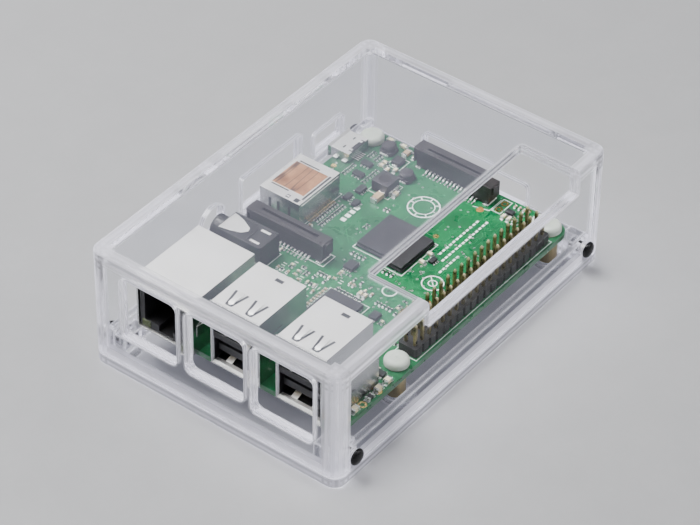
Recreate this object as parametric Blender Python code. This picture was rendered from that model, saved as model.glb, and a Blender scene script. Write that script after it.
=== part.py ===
"""A single-board computer screwed into a clear two-part case.

The frame has its origin at the bottom centre of the case. +X points to the end
with the network and USB sockets, +Y to the side with the pin header, and +Z up.
Lengths are in metres. Places on the board are given in millimetres from the
board's corner beside the power socket, with z = 0 on the board's upper face.
"""
import math

import bmesh
import bpy
from mathutils import Matrix, Vector

MM = 0.001

# Clear case
CASE_LENGTH = 99.5 * MM
CASE_WIDTH = 68.5 * MM
CASE_HEIGHT = 32.2 * MM
CASE_WALL = 2.8 * MM
CASE_CORNER = 3.0 * MM
CASE_EDGE = 0.8 * MM
RIM_HEIGHT = 3.0 * MM
FLOOR = 1.4 * MM
LIP = 1.8 * MM
LIP_TOP = 7.7 * MM
LIP_TOP_SOCKET_SIDE = 10.1 * MM
INNER_CORNER = 0.8 * MM
FIT_GAP = 0.3 * MM
SEAT_GAP = 0.15 * MM
CORNER_STEPS = 5
EDGE_STEPS = 3
SMALLEST_CORNER = 0.1 * MM
SMOOTH_ANGLE = math.radians(35)

# Circuit board
BOARD_LENGTH = 85.0
BOARD_WIDTH = 56.0
BOARD_THICKNESS = 1.4
BOARD_CORNER = 3.0
BOARD_TOP = 10.6 * MM
BOARD_ORIGIN = (-43.0 * MM, -28.0 * MM)
MOUNT_HOLES = [(3.5, 3.5), (61.5, 3.5), (3.5, 52.5), (61.5, 52.5)]
MOUNT_HOLE_RADIUS = 1.35
HOLE_NAMES = ["power_corner", "audio_corner", "header_corner", "usb_corner"]

# Board supports
STANDOFF_RADIUS = 2.2
STANDOFF_BORE = 1.4
BOSS_RADIUS = 3.5
BOSS_HEIGHT = 2.6 * MM
HEAD_RADIUS = 2.9
HEAD_HEIGHT = 1.9
SHANK_RADIUS = 1.05
SHANK_LENGTH = 6.0
DOME_RIM_SHARE = 0.5
DOME_END_ANGLE = math.radians(80)
STANDOFF_CHAMFER = 0.25
STANDOFF_LIFT = 0.2
STANDOFF_FLOOR = 1.0
BOSS_CLEARANCE = 0.15
CARD_LIP_CLEARANCE = 0.3

# Side screws that hold the lid to the base
SIDE_SCREW_X = 43.5 * MM
SIDE_SCREW_Z = 6.4 * MM
SIDE_HEAD_RADIUS = 2.0 * MM
SIDE_HEAD_HEIGHT = 1.3 * MM
SIDE_SHANK_RADIUS = 1.25 * MM
SIDE_SHANK_LENGTH = 5.6 * MM
SIDE_BOSS_WIDTH = 5.2 * MM
SIDE_BOSS_DEPTH = 3.2 * MM
SIDE_BOSS_TOP = 8.6 * MM
SLOT_STEPS = 8

# Windows in the lid, in board millimetres: (low, high) along the wall, then (low, high) in z
USB_END_WINDOWS = [((2.3, 18.3), (0.6, 17.8)), ((20.6, 36.9), (0.6, 17.8)), ((38.6, 55.6), (-0.6, 17.8))]
USB_WINDOW_CORNER = 1.6
SOCKET_WINDOW_CORNER = 0.8
CARD_WINDOW_CORNER = 1.2
SOCKET_SIDE_WINDOWS = [((5.4, 16.6), (-0.8, 5.6)), ((21.4, 43.2), (-0.8, 9.1))]
AUDIO_WINDOW = (53.5, 3.5, 4.2)
CARD_WINDOW = ((12.4, 42.6), (-5.3, 1.8))
HEADER_NOTCH = (4.6, 61.3, 45.9)
HEADER_NOTCH_SILL = 14.9
NOTCH_CORNER = 0.6 * MM

# Pin header
HEADER_PITCH = 2.54
HEADER_COLUMNS = 20
HEADER_ROWS = 2
HEADER_START = (8.37, 51.23)
HEADER_BASE_HEIGHT = 2.54
PIN_WIDTH = 0.64
PIN_TOP = 8.5

# Memory card
CARD_LENGTH = 15.0
CARD_WIDTH = 11.0
CARD_THICKNESS = 0.8
CARD_OVERHANG = 2.4
CARD_TOP = -2.05
CARD_CENTRE = 28.0

# Sockets: front face along the outward axis, and centre along the board's edge
NETWORK_PLACE = (87.0, 10.25)
USB_FRONT = 85.9
USB_CENTRES = {"inner": 29.0, "outer": 47.0}
VIDEO_PLACE = (32.0, -1.5)
POWER_PLACE = (10.6, -1.1)
AUDIO_CENTRE = 53.5
AUDIO_WIDTH = 7.0
AUDIO_DEPTH = 12.5
AUDIO_HEIGHT = 6.0
BARREL_HEIGHT = 3.1
BARREL_LENGTH = 2.5
BARREL_RADIUS = 2.9
JACK_RADIUS = 1.8
JACK_END_WALL = 1.5

# Ribbon-cable connectors
RIBBON_HALF_LENGTH = 11.0
RIBBON_BASE_HALF_WIDTH = 1.5
RIBBON_BASE_TOP = 4.0
COLLAR_HALF_WIDTH = 1.9
COLLAR_BOTTOM = 1.6
COLLAR_TOP = 5.5
COLLAR_ROOF = 4.3
CABLE_HALF_LENGTH = 8.0
CABLE_HALF_WIDTH = 0.4

# Drum inductors
DRUM_HALF_WIDTH = 1.8
DRUM_BASE_TOP = 0.9
DRUM_RADIUS = 1.75
DRUM_HEIGHT = 1.8
DRUM_CHAMFER = 0.3

# Parts soldered to the board start this far above it, so each stays its own solid
PART_BOTTOM = SEAT_GAP / MM


def on_board(x, y, z):
    """Board millimetres to metres in the part's frame."""
    return Vector((BOARD_ORIGIN[0] + x * MM, BOARD_ORIGIN[1] + y * MM, BOARD_TOP + z * MM))


def on_floor(x, y):
    """The point on the table under a place on the board."""
    place = on_board(x, y, 0)
    place.z = 0.0
    return place


def clear_scene():
    for obj in list(bpy.data.objects):
        bpy.data.objects.remove(obj, do_unlink=True)


def material(name, colour, roughness, metallic=0.0, alpha=1.0):
    made = bpy.data.materials.get(name) or bpy.data.materials.new(name)
    made.use_nodes = True
    shader = made.node_tree.nodes["Principled BSDF"]
    shader.inputs["Base Color"].default_value = (*colour, 1.0)
    shader.inputs["Roughness"].default_value = roughness
    shader.inputs["Metallic"].default_value = metallic
    shader.inputs["Alpha"].default_value = alpha
    return made


MATERIALS = {
    "clear_plastic": ((0.86, 0.87, 0.92), 0.05, 0.0, 0.3),
    "green_board": ((0.02, 0.22, 0.09), 0.35),
    "tin_plate": ((0.78, 0.77, 0.74), 0.32, 1.0),
    "black_plastic": ((0.02, 0.02, 0.022), 0.45),
    "brown_plastic": ((0.05, 0.04, 0.04), 0.5),
    "chip_epoxy": ((0.03, 0.03, 0.035), 0.55),
    "brass": ((0.62, 0.47, 0.2), 0.35, 1.0),
    "milky_nylon": ((0.82, 0.84, 0.82), 0.5),
    "black_steel": ((0.015, 0.015, 0.018), 0.3, 0.6),
    "ferrite": ((0.06, 0.055, 0.06), 0.6),
    "ceramic": ((0.55, 0.45, 0.33), 0.5),
    "lamp_lens": ((0.75, 0.8, 0.7), 0.3),
    "card_plastic": ((0.03, 0.03, 0.032), 0.5),
}


def add_node(name, mesh, slot):
    """Turn a bmesh into the named object with its own material."""
    bmesh.ops.recalc_face_normals(mesh, faces=mesh.faces)
    data = bpy.data.meshes.new(name)
    mesh.to_mesh(data)
    mesh.free()
    data.materials.append(material(slot, *MATERIALS[slot]))
    data.shade_smooth()
    data.set_sharp_from_angle(angle=SMOOTH_ANGLE)
    obj = bpy.data.objects.new(name, data)
    bpy.context.scene.collection.objects.link(obj)
    return obj


def combine(target, mesh, operation):
    """Add a Boolean to target whose tool is the given bmesh."""
    bmesh.ops.recalc_face_normals(mesh, faces=mesh.faces)
    number = len(target.modifiers) + 1
    name = f"{target.name}_tool_{number}"
    data = bpy.data.meshes.new(name)
    mesh.to_mesh(data)
    mesh.free()
    tool = bpy.data.objects.new(name, data)
    tool.hide_render = True
    tool.display_type = "WIRE"
    bpy.context.scene.collection.objects.link(tool)
    modifier = target.modifiers.new(name, "BOOLEAN")
    modifier.operation = operation
    modifier.object = tool


def rounded_rectangle(low, high, radius, steps):
    """Corner points of a rectangle from low to high, anticlockwise, as 2-D pairs."""
    if radius <= 0:
        return [(low[0], low[1]), (high[0], low[1]), (high[0], high[1]), (low[0], high[1])]
    right, left = high[0] - radius, low[0] + radius
    top, bottom = high[1] - radius, low[1] + radius
    points = []
    corners = ((right, bottom, -90), (right, top, 0), (left, top, 90), (left, bottom, 180))
    for centre_x, centre_y, start in corners:
        for step in range(steps + 1):
            angle = math.radians(start + 90 * step / steps)
            points.append((centre_x + radius * math.cos(angle), centre_y + radius * math.sin(angle)))
    return points


def loft(mesh, rings):
    """Join rings of equal size into one closed skin, with a cap on the first and the last."""
    layers = [[mesh.verts.new(point) for point in ring] for ring in rings]
    count = len(layers[0])
    for lower, upper in zip(layers, layers[1:]):
        for index in range(count):
            following = (index + 1) % count
            mesh.faces.new((lower[index], lower[following], upper[following], upper[index]))
    mesh.faces.new(reversed(layers[0]))
    mesh.faces.new(layers[-1])


def rounded_edge(radius, steps):
    """(inset, distance from the flat face) pairs round a quarter-circle edge, flat face first."""
    if radius <= 0:
        return [(0.0, 0.0)]
    turns = [math.radians(90 * step / steps) for step in range(steps + 1)]
    return [(radius * (1 - math.sin(turn)), radius * (1 - math.cos(turn))) for turn in turns]


def slab(mesh, low, high, corner=0.0, edge_top=0.0, edge_bottom=0.0, steps=CORNER_STEPS):
    """A box from low to high with rounded upright corners and rounded top or bottom edges."""
    levels = [(inset, low[2] + up) for inset, up in rounded_edge(edge_bottom, EDGE_STEPS)]
    levels += [(inset, high[2] - down) for inset, down in reversed(rounded_edge(edge_top, EDGE_STEPS))]
    rings = []
    for inset, z in levels:
        inner_low = (low[0] + inset, low[1] + inset)
        inner_high = (high[0] - inset, high[1] - inset)
        radius = max(corner - inset, SMALLEST_CORNER) if corner else 0.0
        rings.append([(x, y, z) for x, y in rounded_rectangle(inner_low, inner_high, radius, steps)])
    loft(mesh, rings)


def board_slab(mesh, x, y, z, **rounding):
    """A slab given as (low, high) pairs in board millimetres."""
    slab(mesh, on_board(x[0], y[0], z[0]), on_board(x[1], y[1], z[1]), **rounding)


def turned(mesh, centre, profile, axis, steps=24):
    """A solid of revolution: profile is (radius, distance) pairs along axis from centre."""
    turn = Vector((0, 0, 1)).rotation_difference(Vector(axis)).to_matrix()
    rings = []
    for radius, distance in profile:
        ring = []
        for step in range(steps):
            angle = 2 * math.pi * step / steps
            point = Vector((radius * math.cos(angle), radius * math.sin(angle), distance))
            ring.append(Vector(centre) + turn @ point)
        rings.append(ring)
    loft(mesh, rings)


def dome_profile(radius, height, start, steps=4):
    """Half-dome profile from its flat underside at start to its small flat crown."""
    rim = height * DOME_RIM_SHARE
    profile = [(radius, start), (radius, start + rim)]
    for step in range(1, steps + 1):
        angle = DOME_END_ANGLE * step / steps
        profile.append((radius * math.cos(angle), start + rim + (height - rim) * math.sin(angle)))
    return profile


def socket_frame(origin, outward):
    """Local socket axes (outward, sideways, up) placed at a board point given in millimetres."""
    forward = Vector(outward)
    side = Vector((0, 0, 1)).cross(forward)
    placed = Matrix((forward, side, Vector((0, 0, 1)))).transposed().to_4x4()
    placed.translation = on_board(*origin)
    return placed


def cup(mesh, frame, sections, corner=0.0, steps=2):
    """A sheet-metal cup from sections (outward, half width, low, high) in millimetres."""
    rings = []
    for outward, half_width, low, high in sections:
        outline = rounded_rectangle((-half_width, low), (half_width, high), corner, steps)
        rings.append([frame @ (Vector((outward, side, up)) * MM) for side, up in outline])
    loft(mesh, rings)


def extruded_profile(mesh, frame, outline, half_width):
    """Push an (outward, up) outline in millimetres sideways to both sides."""
    rings = []
    for side in (-half_width, half_width):
        rings.append([frame @ (Vector((outward, side, up)) * MM) for outward, up in outline])
    loft(mesh, rings)


def case_outline(inset):
    half = (CASE_LENGTH / 2 - inset, CASE_WIDTH / 2 - inset)
    return (-half[0], -half[1]), half


def case_block(mesh, inset, bottom, top, corner, **rounding):
    low, high = case_outline(inset)
    slab(mesh, (*low, bottom), (*high, top), corner=corner, **rounding)


def side_screw_places():
    """Yield a name, the point on the case's side and the outward direction of each side screw."""
    for side_name, side in (("header", 1), ("socket", -1)):
        for end_name, end in (("usb", 1), ("card", -1)):
            point = Vector((end * SIDE_SCREW_X, side * CASE_WIDTH / 2, SIDE_SCREW_Z))
            yield f"side_screw_{side_name}_{end_name}", point, Vector((0, side, 0))


def build_case_base():
    mesh = bmesh.new()
    case_block(mesh, 0.0, 0.0, RIM_HEIGHT, CASE_CORNER, edge_bottom=CASE_EDGE)
    base = add_node("case_base", mesh, "clear_plastic")

    lip = bmesh.new()
    case_block(lip, CASE_WALL + FIT_GAP, RIM_HEIGHT / 2, LIP_TOP_SOCKET_SIDE, INNER_CORNER, steps=3)
    combine(base, lip, "UNION")

    pocket = bmesh.new()
    case_block(pocket, CASE_WALL + FIT_GAP + LIP, FLOOR, CASE_HEIGHT, INNER_CORNER, steps=3)
    combine(base, pocket, "DIFFERENCE")

    combine(base, lower_lip_cutter(), "DIFFERENCE")
    combine(base, usb_end_lip_cutter(), "DIFFERENCE")
    combine(base, card_end_lip_cutter(), "DIFFERENCE")
    combine(base, standoff_bosses(), "UNION")
    combine(base, side_screw_bosses(), "UNION")
    combine(base, base_holes(), "DIFFERENCE")


def lip_inner_edge():
    return case_outline(CASE_WALL + FIT_GAP + LIP)


def lower_lip_cutter():
    """The lip is taller along the socket side only."""
    low = lip_inner_edge()[0]
    mesh = bmesh.new()
    slab(mesh, (-CASE_LENGTH, low[1], LIP_TOP), (CASE_LENGTH, CASE_WIDTH, CASE_HEIGHT))
    return mesh


def usb_end_lip_cutter():
    low, high = lip_inner_edge()
    mesh = bmesh.new()
    slab(mesh, (high[0] - LIP, low[1], RIM_HEIGHT), (CASE_LENGTH, high[1], CASE_HEIGHT))
    return mesh


def card_end_lip_cutter():
    low = lip_inner_edge()[0]
    across = CARD_WINDOW[0]
    bottom = on_board(0, 0, CARD_WINDOW[1][0] - CARD_LIP_CLEARANCE).z
    mesh = bmesh.new()
    slab(mesh, (-CASE_LENGTH, on_board(0, across[0], 0).y, bottom),
         (low[0] + LIP, on_board(0, across[1], 0).y, CASE_HEIGHT))
    return mesh


def standoff_bosses():
    mesh = bmesh.new()
    radius = BOSS_RADIUS * MM
    for x, y in MOUNT_HOLES:
        turned(mesh, on_floor(x, y), [(radius, FLOOR / 2), (radius, BOSS_HEIGHT)], (0, 0, 1), steps=20)
    return mesh


def side_screw_bosses():
    mesh = bmesh.new()
    inner_y = lip_inner_edge()[1][1]
    for _, point, outward in side_screw_places():
        side = outward.y
        reach = sorted((side * (inner_y + LIP / 2), side * (inner_y - SIDE_BOSS_DEPTH)))
        low = (point.x - SIDE_BOSS_WIDTH / 2, reach[0], FLOOR / 2)
        high = (point.x + SIDE_BOSS_WIDTH / 2, reach[1], SIDE_BOSS_TOP)
        slab(mesh, low, high)
    return mesh


def base_holes():
    mesh = bmesh.new()
    radius = (STANDOFF_RADIUS + BOSS_CLEARANCE) * MM
    for x, y in MOUNT_HOLES:
        turned(mesh, on_floor(x, y), [(radius, FLOOR - 0.1 * MM), (radius, CASE_HEIGHT)], (0, 0, 1))
    for _, point, outward in side_screw_places():
        radius = SIDE_SHANK_RADIUS + FIT_GAP / 2
        depth = SIDE_SHANK_LENGTH + FIT_GAP
        turned(mesh, point, [(radius, -depth), (radius, CASE_WALL)], outward, steps=16)
    return mesh


def build_case_lid():
    mesh = bmesh.new()
    case_block(mesh, 0.0, RIM_HEIGHT + FIT_GAP, CASE_HEIGHT, CASE_CORNER, edge_top=CASE_EDGE)
    lid = add_node("case_lid", mesh, "clear_plastic")

    cavity = bmesh.new()
    case_block(cavity, CASE_WALL, 0.0, CASE_HEIGHT - CASE_WALL, INNER_CORNER, edge_top=INNER_CORNER, steps=3)
    combine(lid, cavity, "DIFFERENCE")

    combine(lid, usb_end_windows(), "DIFFERENCE")
    combine(lid, socket_side_windows(), "DIFFERENCE")
    combine(lid, card_window(), "DIFFERENCE")
    combine(lid, header_notch(), "DIFFERENCE")
    combine(lid, side_screw_slots(), "DIFFERENCE")


def wall_window(mesh, frame, across, up, radius, steps=3):
    """A rounded window through one wall: across and up are (low, high) in millimetres."""
    outline = rounded_rectangle((across[0], up[0]), (across[1], up[1]), radius, steps)
    depth = 2 * CASE_WALL / MM
    rings = []
    for outward in (-depth, depth):
        rings.append([frame @ (Vector((outward, side, height)) * MM) for side, height in outline])
    loft(mesh, rings)


def wall_frame(outward):
    """Axes on a case wall: outward, along the wall in board millimetres, up from the board."""
    forward = Vector(outward)
    along = Vector((0, 1, 0)) if abs(forward.x) > 0.5 else Vector((1, 0, 0))
    placed = Matrix((forward, along, Vector((0, 0, 1)))).transposed().to_4x4()
    half = Vector((CASE_LENGTH / 2, CASE_WIDTH / 2, 0))
    corner = on_board(0, 0, 0)
    placed.translation = Vector((
        forward.x * half.x if forward.x else corner.x,
        forward.y * half.y if forward.y else corner.y,
        corner.z,
    ))
    return placed


def usb_end_windows():
    mesh = bmesh.new()
    for across, up in USB_END_WINDOWS:
        wall_window(mesh, wall_frame((1, 0, 0)), across, up, USB_WINDOW_CORNER)
    return mesh


def socket_side_windows():
    mesh = bmesh.new()
    frame = wall_frame((0, -1, 0))
    for across, up in SOCKET_SIDE_WINDOWS:
        wall_window(mesh, frame, across, up, SOCKET_WINDOW_CORNER)
    x, z, radius = AUDIO_WINDOW
    depth = 2 * CASE_WALL
    centre = frame @ (Vector((0, x, z)) * MM)
    turned(mesh, centre, [(radius * MM, -depth), (radius * MM, depth)], (0, 1, 0))
    return mesh


def card_window():
    mesh = bmesh.new()
    wall_window(mesh, wall_frame((-1, 0, 0)), *CARD_WINDOW, CARD_WINDOW_CORNER)
    return mesh


def header_notch():
    """The opening over the pin header, through the top and down the side wall to a sill."""
    start, end, inner = HEADER_NOTCH
    mesh = bmesh.new()
    low = on_board(start, inner, HEADER_NOTCH_SILL)
    high = on_board(end, BOARD_WIDTH + 20, HEADER_NOTCH_SILL + 20)
    slab(mesh, low, high, corner=NOTCH_CORNER, steps=2)
    return mesh


def side_screw_slots():
    """Slots open at the lid's lower edge, so the lid lifts off over the screw shanks."""
    mesh = bmesh.new()
    for _, point, outward in side_screw_places():
        radius = SIDE_SHANK_RADIUS + FIT_GAP
        outline = [(-radius, -SIDE_SCREW_Z), (radius, -SIDE_SCREW_Z)]
        for step in range(SLOT_STEPS + 1):
            angle = math.pi * step / SLOT_STEPS
            outline.append((radius * math.cos(angle), radius * math.sin(angle)))
        rings = []
        for depth in (-2 * CASE_WALL, CASE_WALL):
            across = outward * depth
            rings.append([point + across + Vector((along, 0, up)) for along, up in outline])
        loft(mesh, rings)
    return mesh


def build_side_screws():
    for name, point, outward in side_screw_places():
        mesh = bmesh.new()
        profile = [(SIDE_SHANK_RADIUS, -SIDE_SHANK_LENGTH), (SIDE_SHANK_RADIUS, SEAT_GAP)]
        profile += dome_profile(SIDE_HEAD_RADIUS, SIDE_HEAD_HEIGHT, SEAT_GAP)
        turned(mesh, (0, 0, 0), profile, outward, steps=20)
        screw = add_node(name, mesh, "black_steel")
        screw.location = point


def build_standoff(name, x, y):
    """A turned brass post, bored for the screw from its upper end."""
    bottom = (FLOOR - BOARD_TOP) / MM + STANDOFF_LIFT
    top = -BOARD_THICKNESS - PART_BOTTOM
    outer, chamfer = STANDOFF_RADIUS * MM, STANDOFF_CHAMFER * MM
    height = (top - bottom) * MM
    mesh = bmesh.new()
    inner, shoulder = outer - chamfer, height - chamfer
    profile = [(inner, 0.0), (outer, chamfer), (outer, shoulder), (inner, height)]
    turned(mesh, on_board(x, y, bottom), profile, (0, 0, 1))
    standoff = add_node(f"standoff_{name}", mesh, "brass")
    bore = bmesh.new()
    radius = STANDOFF_BORE * MM
    turned(bore, on_board(x, y, bottom + STANDOFF_FLOOR), [(radius, 0.0), (radius, 2 * height)], (0, 0, 1))
    combine(standoff, bore, "DIFFERENCE")


def build_board_screw(name, x, y):
    mesh = bmesh.new()
    profile = [(SHANK_RADIUS * MM, -SHANK_LENGTH * MM), (SHANK_RADIUS * MM, SEAT_GAP)]
    profile += dome_profile(HEAD_RADIUS * MM, HEAD_HEIGHT * MM, SEAT_GAP)
    turned(mesh, on_board(x, y, 0), profile, (0, 0, 1))
    add_node(f"board_screw_{name}", mesh, "milky_nylon")


def build_board_supports():
    for name, (x, y) in zip(HOLE_NAMES, MOUNT_HOLES):
        build_standoff(name, x, y)
        build_board_screw(name, x, y)


def build_circuit_board():
    mesh = bmesh.new()
    board_slab(mesh, (0, BOARD_LENGTH), (0, BOARD_WIDTH), (-BOARD_THICKNESS, 0), corner=BOARD_CORNER * MM)
    board = add_node("circuit_board", mesh, "green_board")
    holes = bmesh.new()
    radius, reach = MOUNT_HOLE_RADIUS * MM, 2 * BOARD_THICKNESS * MM
    for x, y in MOUNT_HOLES:
        turned(holes, on_board(x, y, 0), [(radius, -reach), (radius, reach)], (0, 0, 1), steps=20)
    combine(board, holes, "DIFFERENCE")


def header_top(mesh):
    """The flat top of the plastic strip, one face for each pin."""
    start_x = HEADER_START[0] - HEADER_PITCH / 2
    start_y = HEADER_START[1] - HEADER_PITCH / 2
    grid = []
    for i in range(HEADER_COLUMNS + 1):
        column = []
        for j in range(HEADER_ROWS + 1):
            place = on_board(start_x + HEADER_PITCH * i, start_y + HEADER_PITCH * j, HEADER_BASE_HEIGHT)
            column.append(mesh.verts.new(place))
        grid.append(column)
    cells = []
    for near, far in zip(grid, grid[1:]):
        for j in range(HEADER_ROWS):
            cells.append(mesh.faces.new((near[j], far[j], far[j + 1], near[j + 1])))
    return cells


def build_pin_header():
    """Plastic strip and pins in one body: each cell of the top is inset, then raised as a pin."""
    mesh = bmesh.new()
    cells = header_top(mesh)
    rim = [edge for edge in mesh.edges if edge.is_boundary]
    skirt = bmesh.ops.extrude_edge_only(mesh, edges=rim)["geom"]
    for item in skirt:
        if isinstance(item, bmesh.types.BMVert):
            item.co.z = on_board(0, 0, PART_BOTTOM).z
    bmesh.ops.contextual_create(mesh, geom=[edge for edge in mesh.edges if edge.is_boundary])
    inset = (HEADER_PITCH - PIN_WIDTH) / 2 * MM
    bmesh.ops.inset_individual(mesh, faces=cells, thickness=inset)
    raised = bmesh.ops.extrude_discrete_faces(mesh, faces=cells)["faces"]
    for face in raised:
        for vertex in face.verts:
            vertex.co.z = on_board(0, 0, PIN_TOP).z
    add_node("pin_header", mesh, "black_plastic")


def build_network_socket():
    frame = socket_frame((*NETWORK_PLACE, 0), (1, 0, 0))
    mesh = bmesh.new()
    outside = [(-21.3, 8.0, PART_BOTTOM, 13.5), (0, 8.0, PART_BOTTOM, 13.5)]
    inside = [(0, 7.6, 0.55, 13.1), (-20.9, 7.6, 0.55, 13.1)]
    cup(mesh, frame, outside + inside)
    add_node("network_shell", mesh, "tin_plate")

    mesh = bmesh.new()
    outside = [(-20.6, 7.3, 0.85, 12.8), (-0.3, 7.3, 0.85, 12.8)]
    inside = [(-0.3, 5.95, 3.0, 11.2), (-14.0, 5.95, 3.0, 11.2)]
    cup(mesh, frame, outside + inside)
    insert = add_node("network_insert", mesh, "black_plastic")
    latch = bmesh.new()
    cup(latch, frame, [(-12.0, 2.0, 1.5, 3.5), (1.0, 2.0, 1.5, 3.5)])
    combine(insert, latch, "DIFFERENCE")


def build_usb_socket(label, y):
    """Two stacked ports: a tin shell with a flared mouth and a moulding with two tongues."""
    frame = socket_frame((USB_FRONT, y, 0), (1, 0, 0))
    mesh = bmesh.new()
    flare = -0.5
    outside = [(-16.5, 6.55, PART_BOTTOM, 16.0), (flare, 6.55, PART_BOTTOM, 16.0), (0, 6.8, -0.3, 16.2)]
    inside = [(0, 6.45, 0.05, 15.85), (flare, 6.15, 0.55, 15.6), (-16.1, 6.15, 0.55, 15.6)]
    cup(mesh, frame, outside + inside)
    add_node(f"usb_shell_{label}", mesh, "tin_plate")

    back, neck, front, divider = -15.8, -9.7, -1.6, -0.6
    lower_tongue = [(neck, 3.0), (front, 3.0), (front, 4.9), (neck, 4.9)]
    between_ports = [(neck, 7.3), (divider, 7.3), (divider, 8.7), (neck, 8.7)]
    upper_tongue = [(neck, 11.0), (front, 11.0), (front, 12.9), (neck, 12.9)]
    faces = lower_tongue + between_ports + upper_tongue
    mesh = bmesh.new()
    extruded_profile(mesh, frame, [(back, 0.85), (neck, 0.85), *faces, (neck, 15.3), (back, 15.3)], 5.85)
    add_node(f"usb_insert_{label}", mesh, "black_plastic")


def build_video_socket():
    frame = socket_frame((*VIDEO_PLACE, 0), (0, -1, 0))
    mesh = bmesh.new()
    outside = [(-11.5, 7.5, PART_BOTTOM, 6.3), (0, 7.5, PART_BOTTOM, 6.3)]
    inside = [(0, 7.1, 0.75, 5.9), (-11.1, 7.1, 0.75, 5.9)]
    cup(mesh, frame, outside + inside)
    add_node("video_shell", mesh, "tin_plate")
    back, neck, front = -10.8, -7.5, -1.2
    tongue = [(neck, 2.6), (front, 2.6), (front, 3.9), (neck, 3.9)]
    mesh = bmesh.new()
    extruded_profile(mesh, frame, [(back, 1.05), (neck, 1.05), *tongue, (neck, 5.6), (back, 5.6)], 5.6)
    add_node("video_insert", mesh, "black_plastic")


def build_power_socket():
    frame = socket_frame((*POWER_PLACE, 0), (0, -1, 0))
    mesh = bmesh.new()
    outside = [(-5.9, 3.75, PART_BOTTOM, 2.85), (-0.7, 3.75, PART_BOTTOM, 2.85), (0, 4.2, -0.05, 3.2)]
    inside = [(0, 3.95, 0.15, 2.95), (-0.7, 3.5, 0.4, 2.6), (-5.6, 3.5, 0.4, 2.6)]
    cup(mesh, frame, outside + inside)
    add_node("power_shell", mesh, "tin_plate")
    back, neck, front = -5.3, -3.9, -0.9
    tongue = [(neck, 1.5), (front, 1.5), (front, 2.0), (neck, 2.0)]
    mesh = bmesh.new()
    extruded_profile(mesh, frame, [(back, 0.7), (neck, 0.7), *tongue, (neck, 2.3), (back, 2.3)], 3.0)
    add_node("power_insert", mesh, "black_plastic")


def build_audio_socket():
    sides = (AUDIO_CENTRE - AUDIO_WIDTH / 2, AUDIO_CENTRE + AUDIO_WIDTH / 2)
    mesh = bmesh.new()
    board_slab(mesh, sides, (0, AUDIO_DEPTH), (PART_BOTTOM, AUDIO_HEIGHT))
    socket = add_node("audio_socket", mesh, "black_plastic")
    mouth = on_board(AUDIO_CENTRE, 0, BARREL_HEIGHT)
    tube = bmesh.new()
    radius = BARREL_RADIUS * MM
    turned(tube, mouth, [(radius, -1.0 * MM), (radius, BARREL_LENGTH * MM)], (0, -1, 0))
    combine(socket, tube, "UNION")
    bore = bmesh.new()
    radius, depth = JACK_RADIUS * MM, (AUDIO_DEPTH - JACK_END_WALL) * MM
    turned(bore, mouth, [(radius, -depth), (radius, 2 * BARREL_LENGTH * MM)], (0, -1, 0), steps=16)
    combine(socket, bore, "DIFFERENCE")


def build_ribbon_connector(label, x, y, cable_shift):
    """A flat-cable connector: a base with a cable slot, and the collar that slides up to free the cable."""
    half = RIBBON_HALF_LENGTH
    mesh = bmesh.new()
    base_x = (x - RIBBON_BASE_HALF_WIDTH, x + RIBBON_BASE_HALF_WIDTH)
    board_slab(mesh, base_x, (y - half + 0.7, y + half - 0.7), (PART_BOTTOM, RIBBON_BASE_TOP))
    base = add_node(f"{label}_connector_base", mesh, "black_plastic")
    slot = bmesh.new()
    cable_y = (y - CABLE_HALF_LENGTH, y + CABLE_HALF_LENGTH)
    board_slab(slot, (x - CABLE_HALF_WIDTH, x + CABLE_HALF_WIDTH), cable_y, (1.4, 2 * RIBBON_BASE_TOP))
    combine(base, slot, "DIFFERENCE")

    mesh = bmesh.new()
    collar_x = (x - COLLAR_HALF_WIDTH, x + COLLAR_HALF_WIDTH)
    board_slab(mesh, collar_x, (y - half, y + half), (COLLAR_BOTTOM, COLLAR_TOP))
    collar = add_node(f"{label}_connector_collar", mesh, "brown_plastic")
    hollow = bmesh.new()
    board_slab(hollow, (x - 3.0, x + 3.0), (y - half + 0.4, y + half - 0.4), (1.0, COLLAR_ROOF))
    combine(collar, hollow, "DIFFERENCE")
    slot = bmesh.new()
    cable_x = (x + cable_shift - CABLE_HALF_WIDTH, x + cable_shift + CABLE_HALF_WIDTH)
    board_slab(slot, cable_x, cable_y, (COLLAR_BOTTOM, 2 * COLLAR_TOP))
    combine(collar, slot, "DIFFERENCE")


def build_card_slot():
    frame = socket_frame((1.4, CARD_CENTRE, -BOARD_THICKNESS), (-1, 0, 0))
    mesh = bmesh.new()
    outside = [(-13.8, 7.0, -1.95, -PART_BOTTOM), (0, 7.0, -1.95, -PART_BOTTOM)]
    inside = [(0, 5.8, -1.75, -0.35), (-13.4, 5.8, -1.75, -0.35)]
    cup(mesh, frame, outside + inside)
    add_node("card_slot", mesh, "tin_plate")


def build_memory_card():
    mesh = bmesh.new()
    length = (-CARD_OVERHANG, CARD_LENGTH - CARD_OVERHANG)
    width = (CARD_CENTRE - CARD_WIDTH / 2, CARD_CENTRE + CARD_WIDTH / 2)
    board_slab(mesh, length, width, (CARD_TOP - CARD_THICKNESS, CARD_TOP), corner=0.7 * MM, steps=2)
    add_node("memory_card", mesh, "card_plastic")


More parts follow.
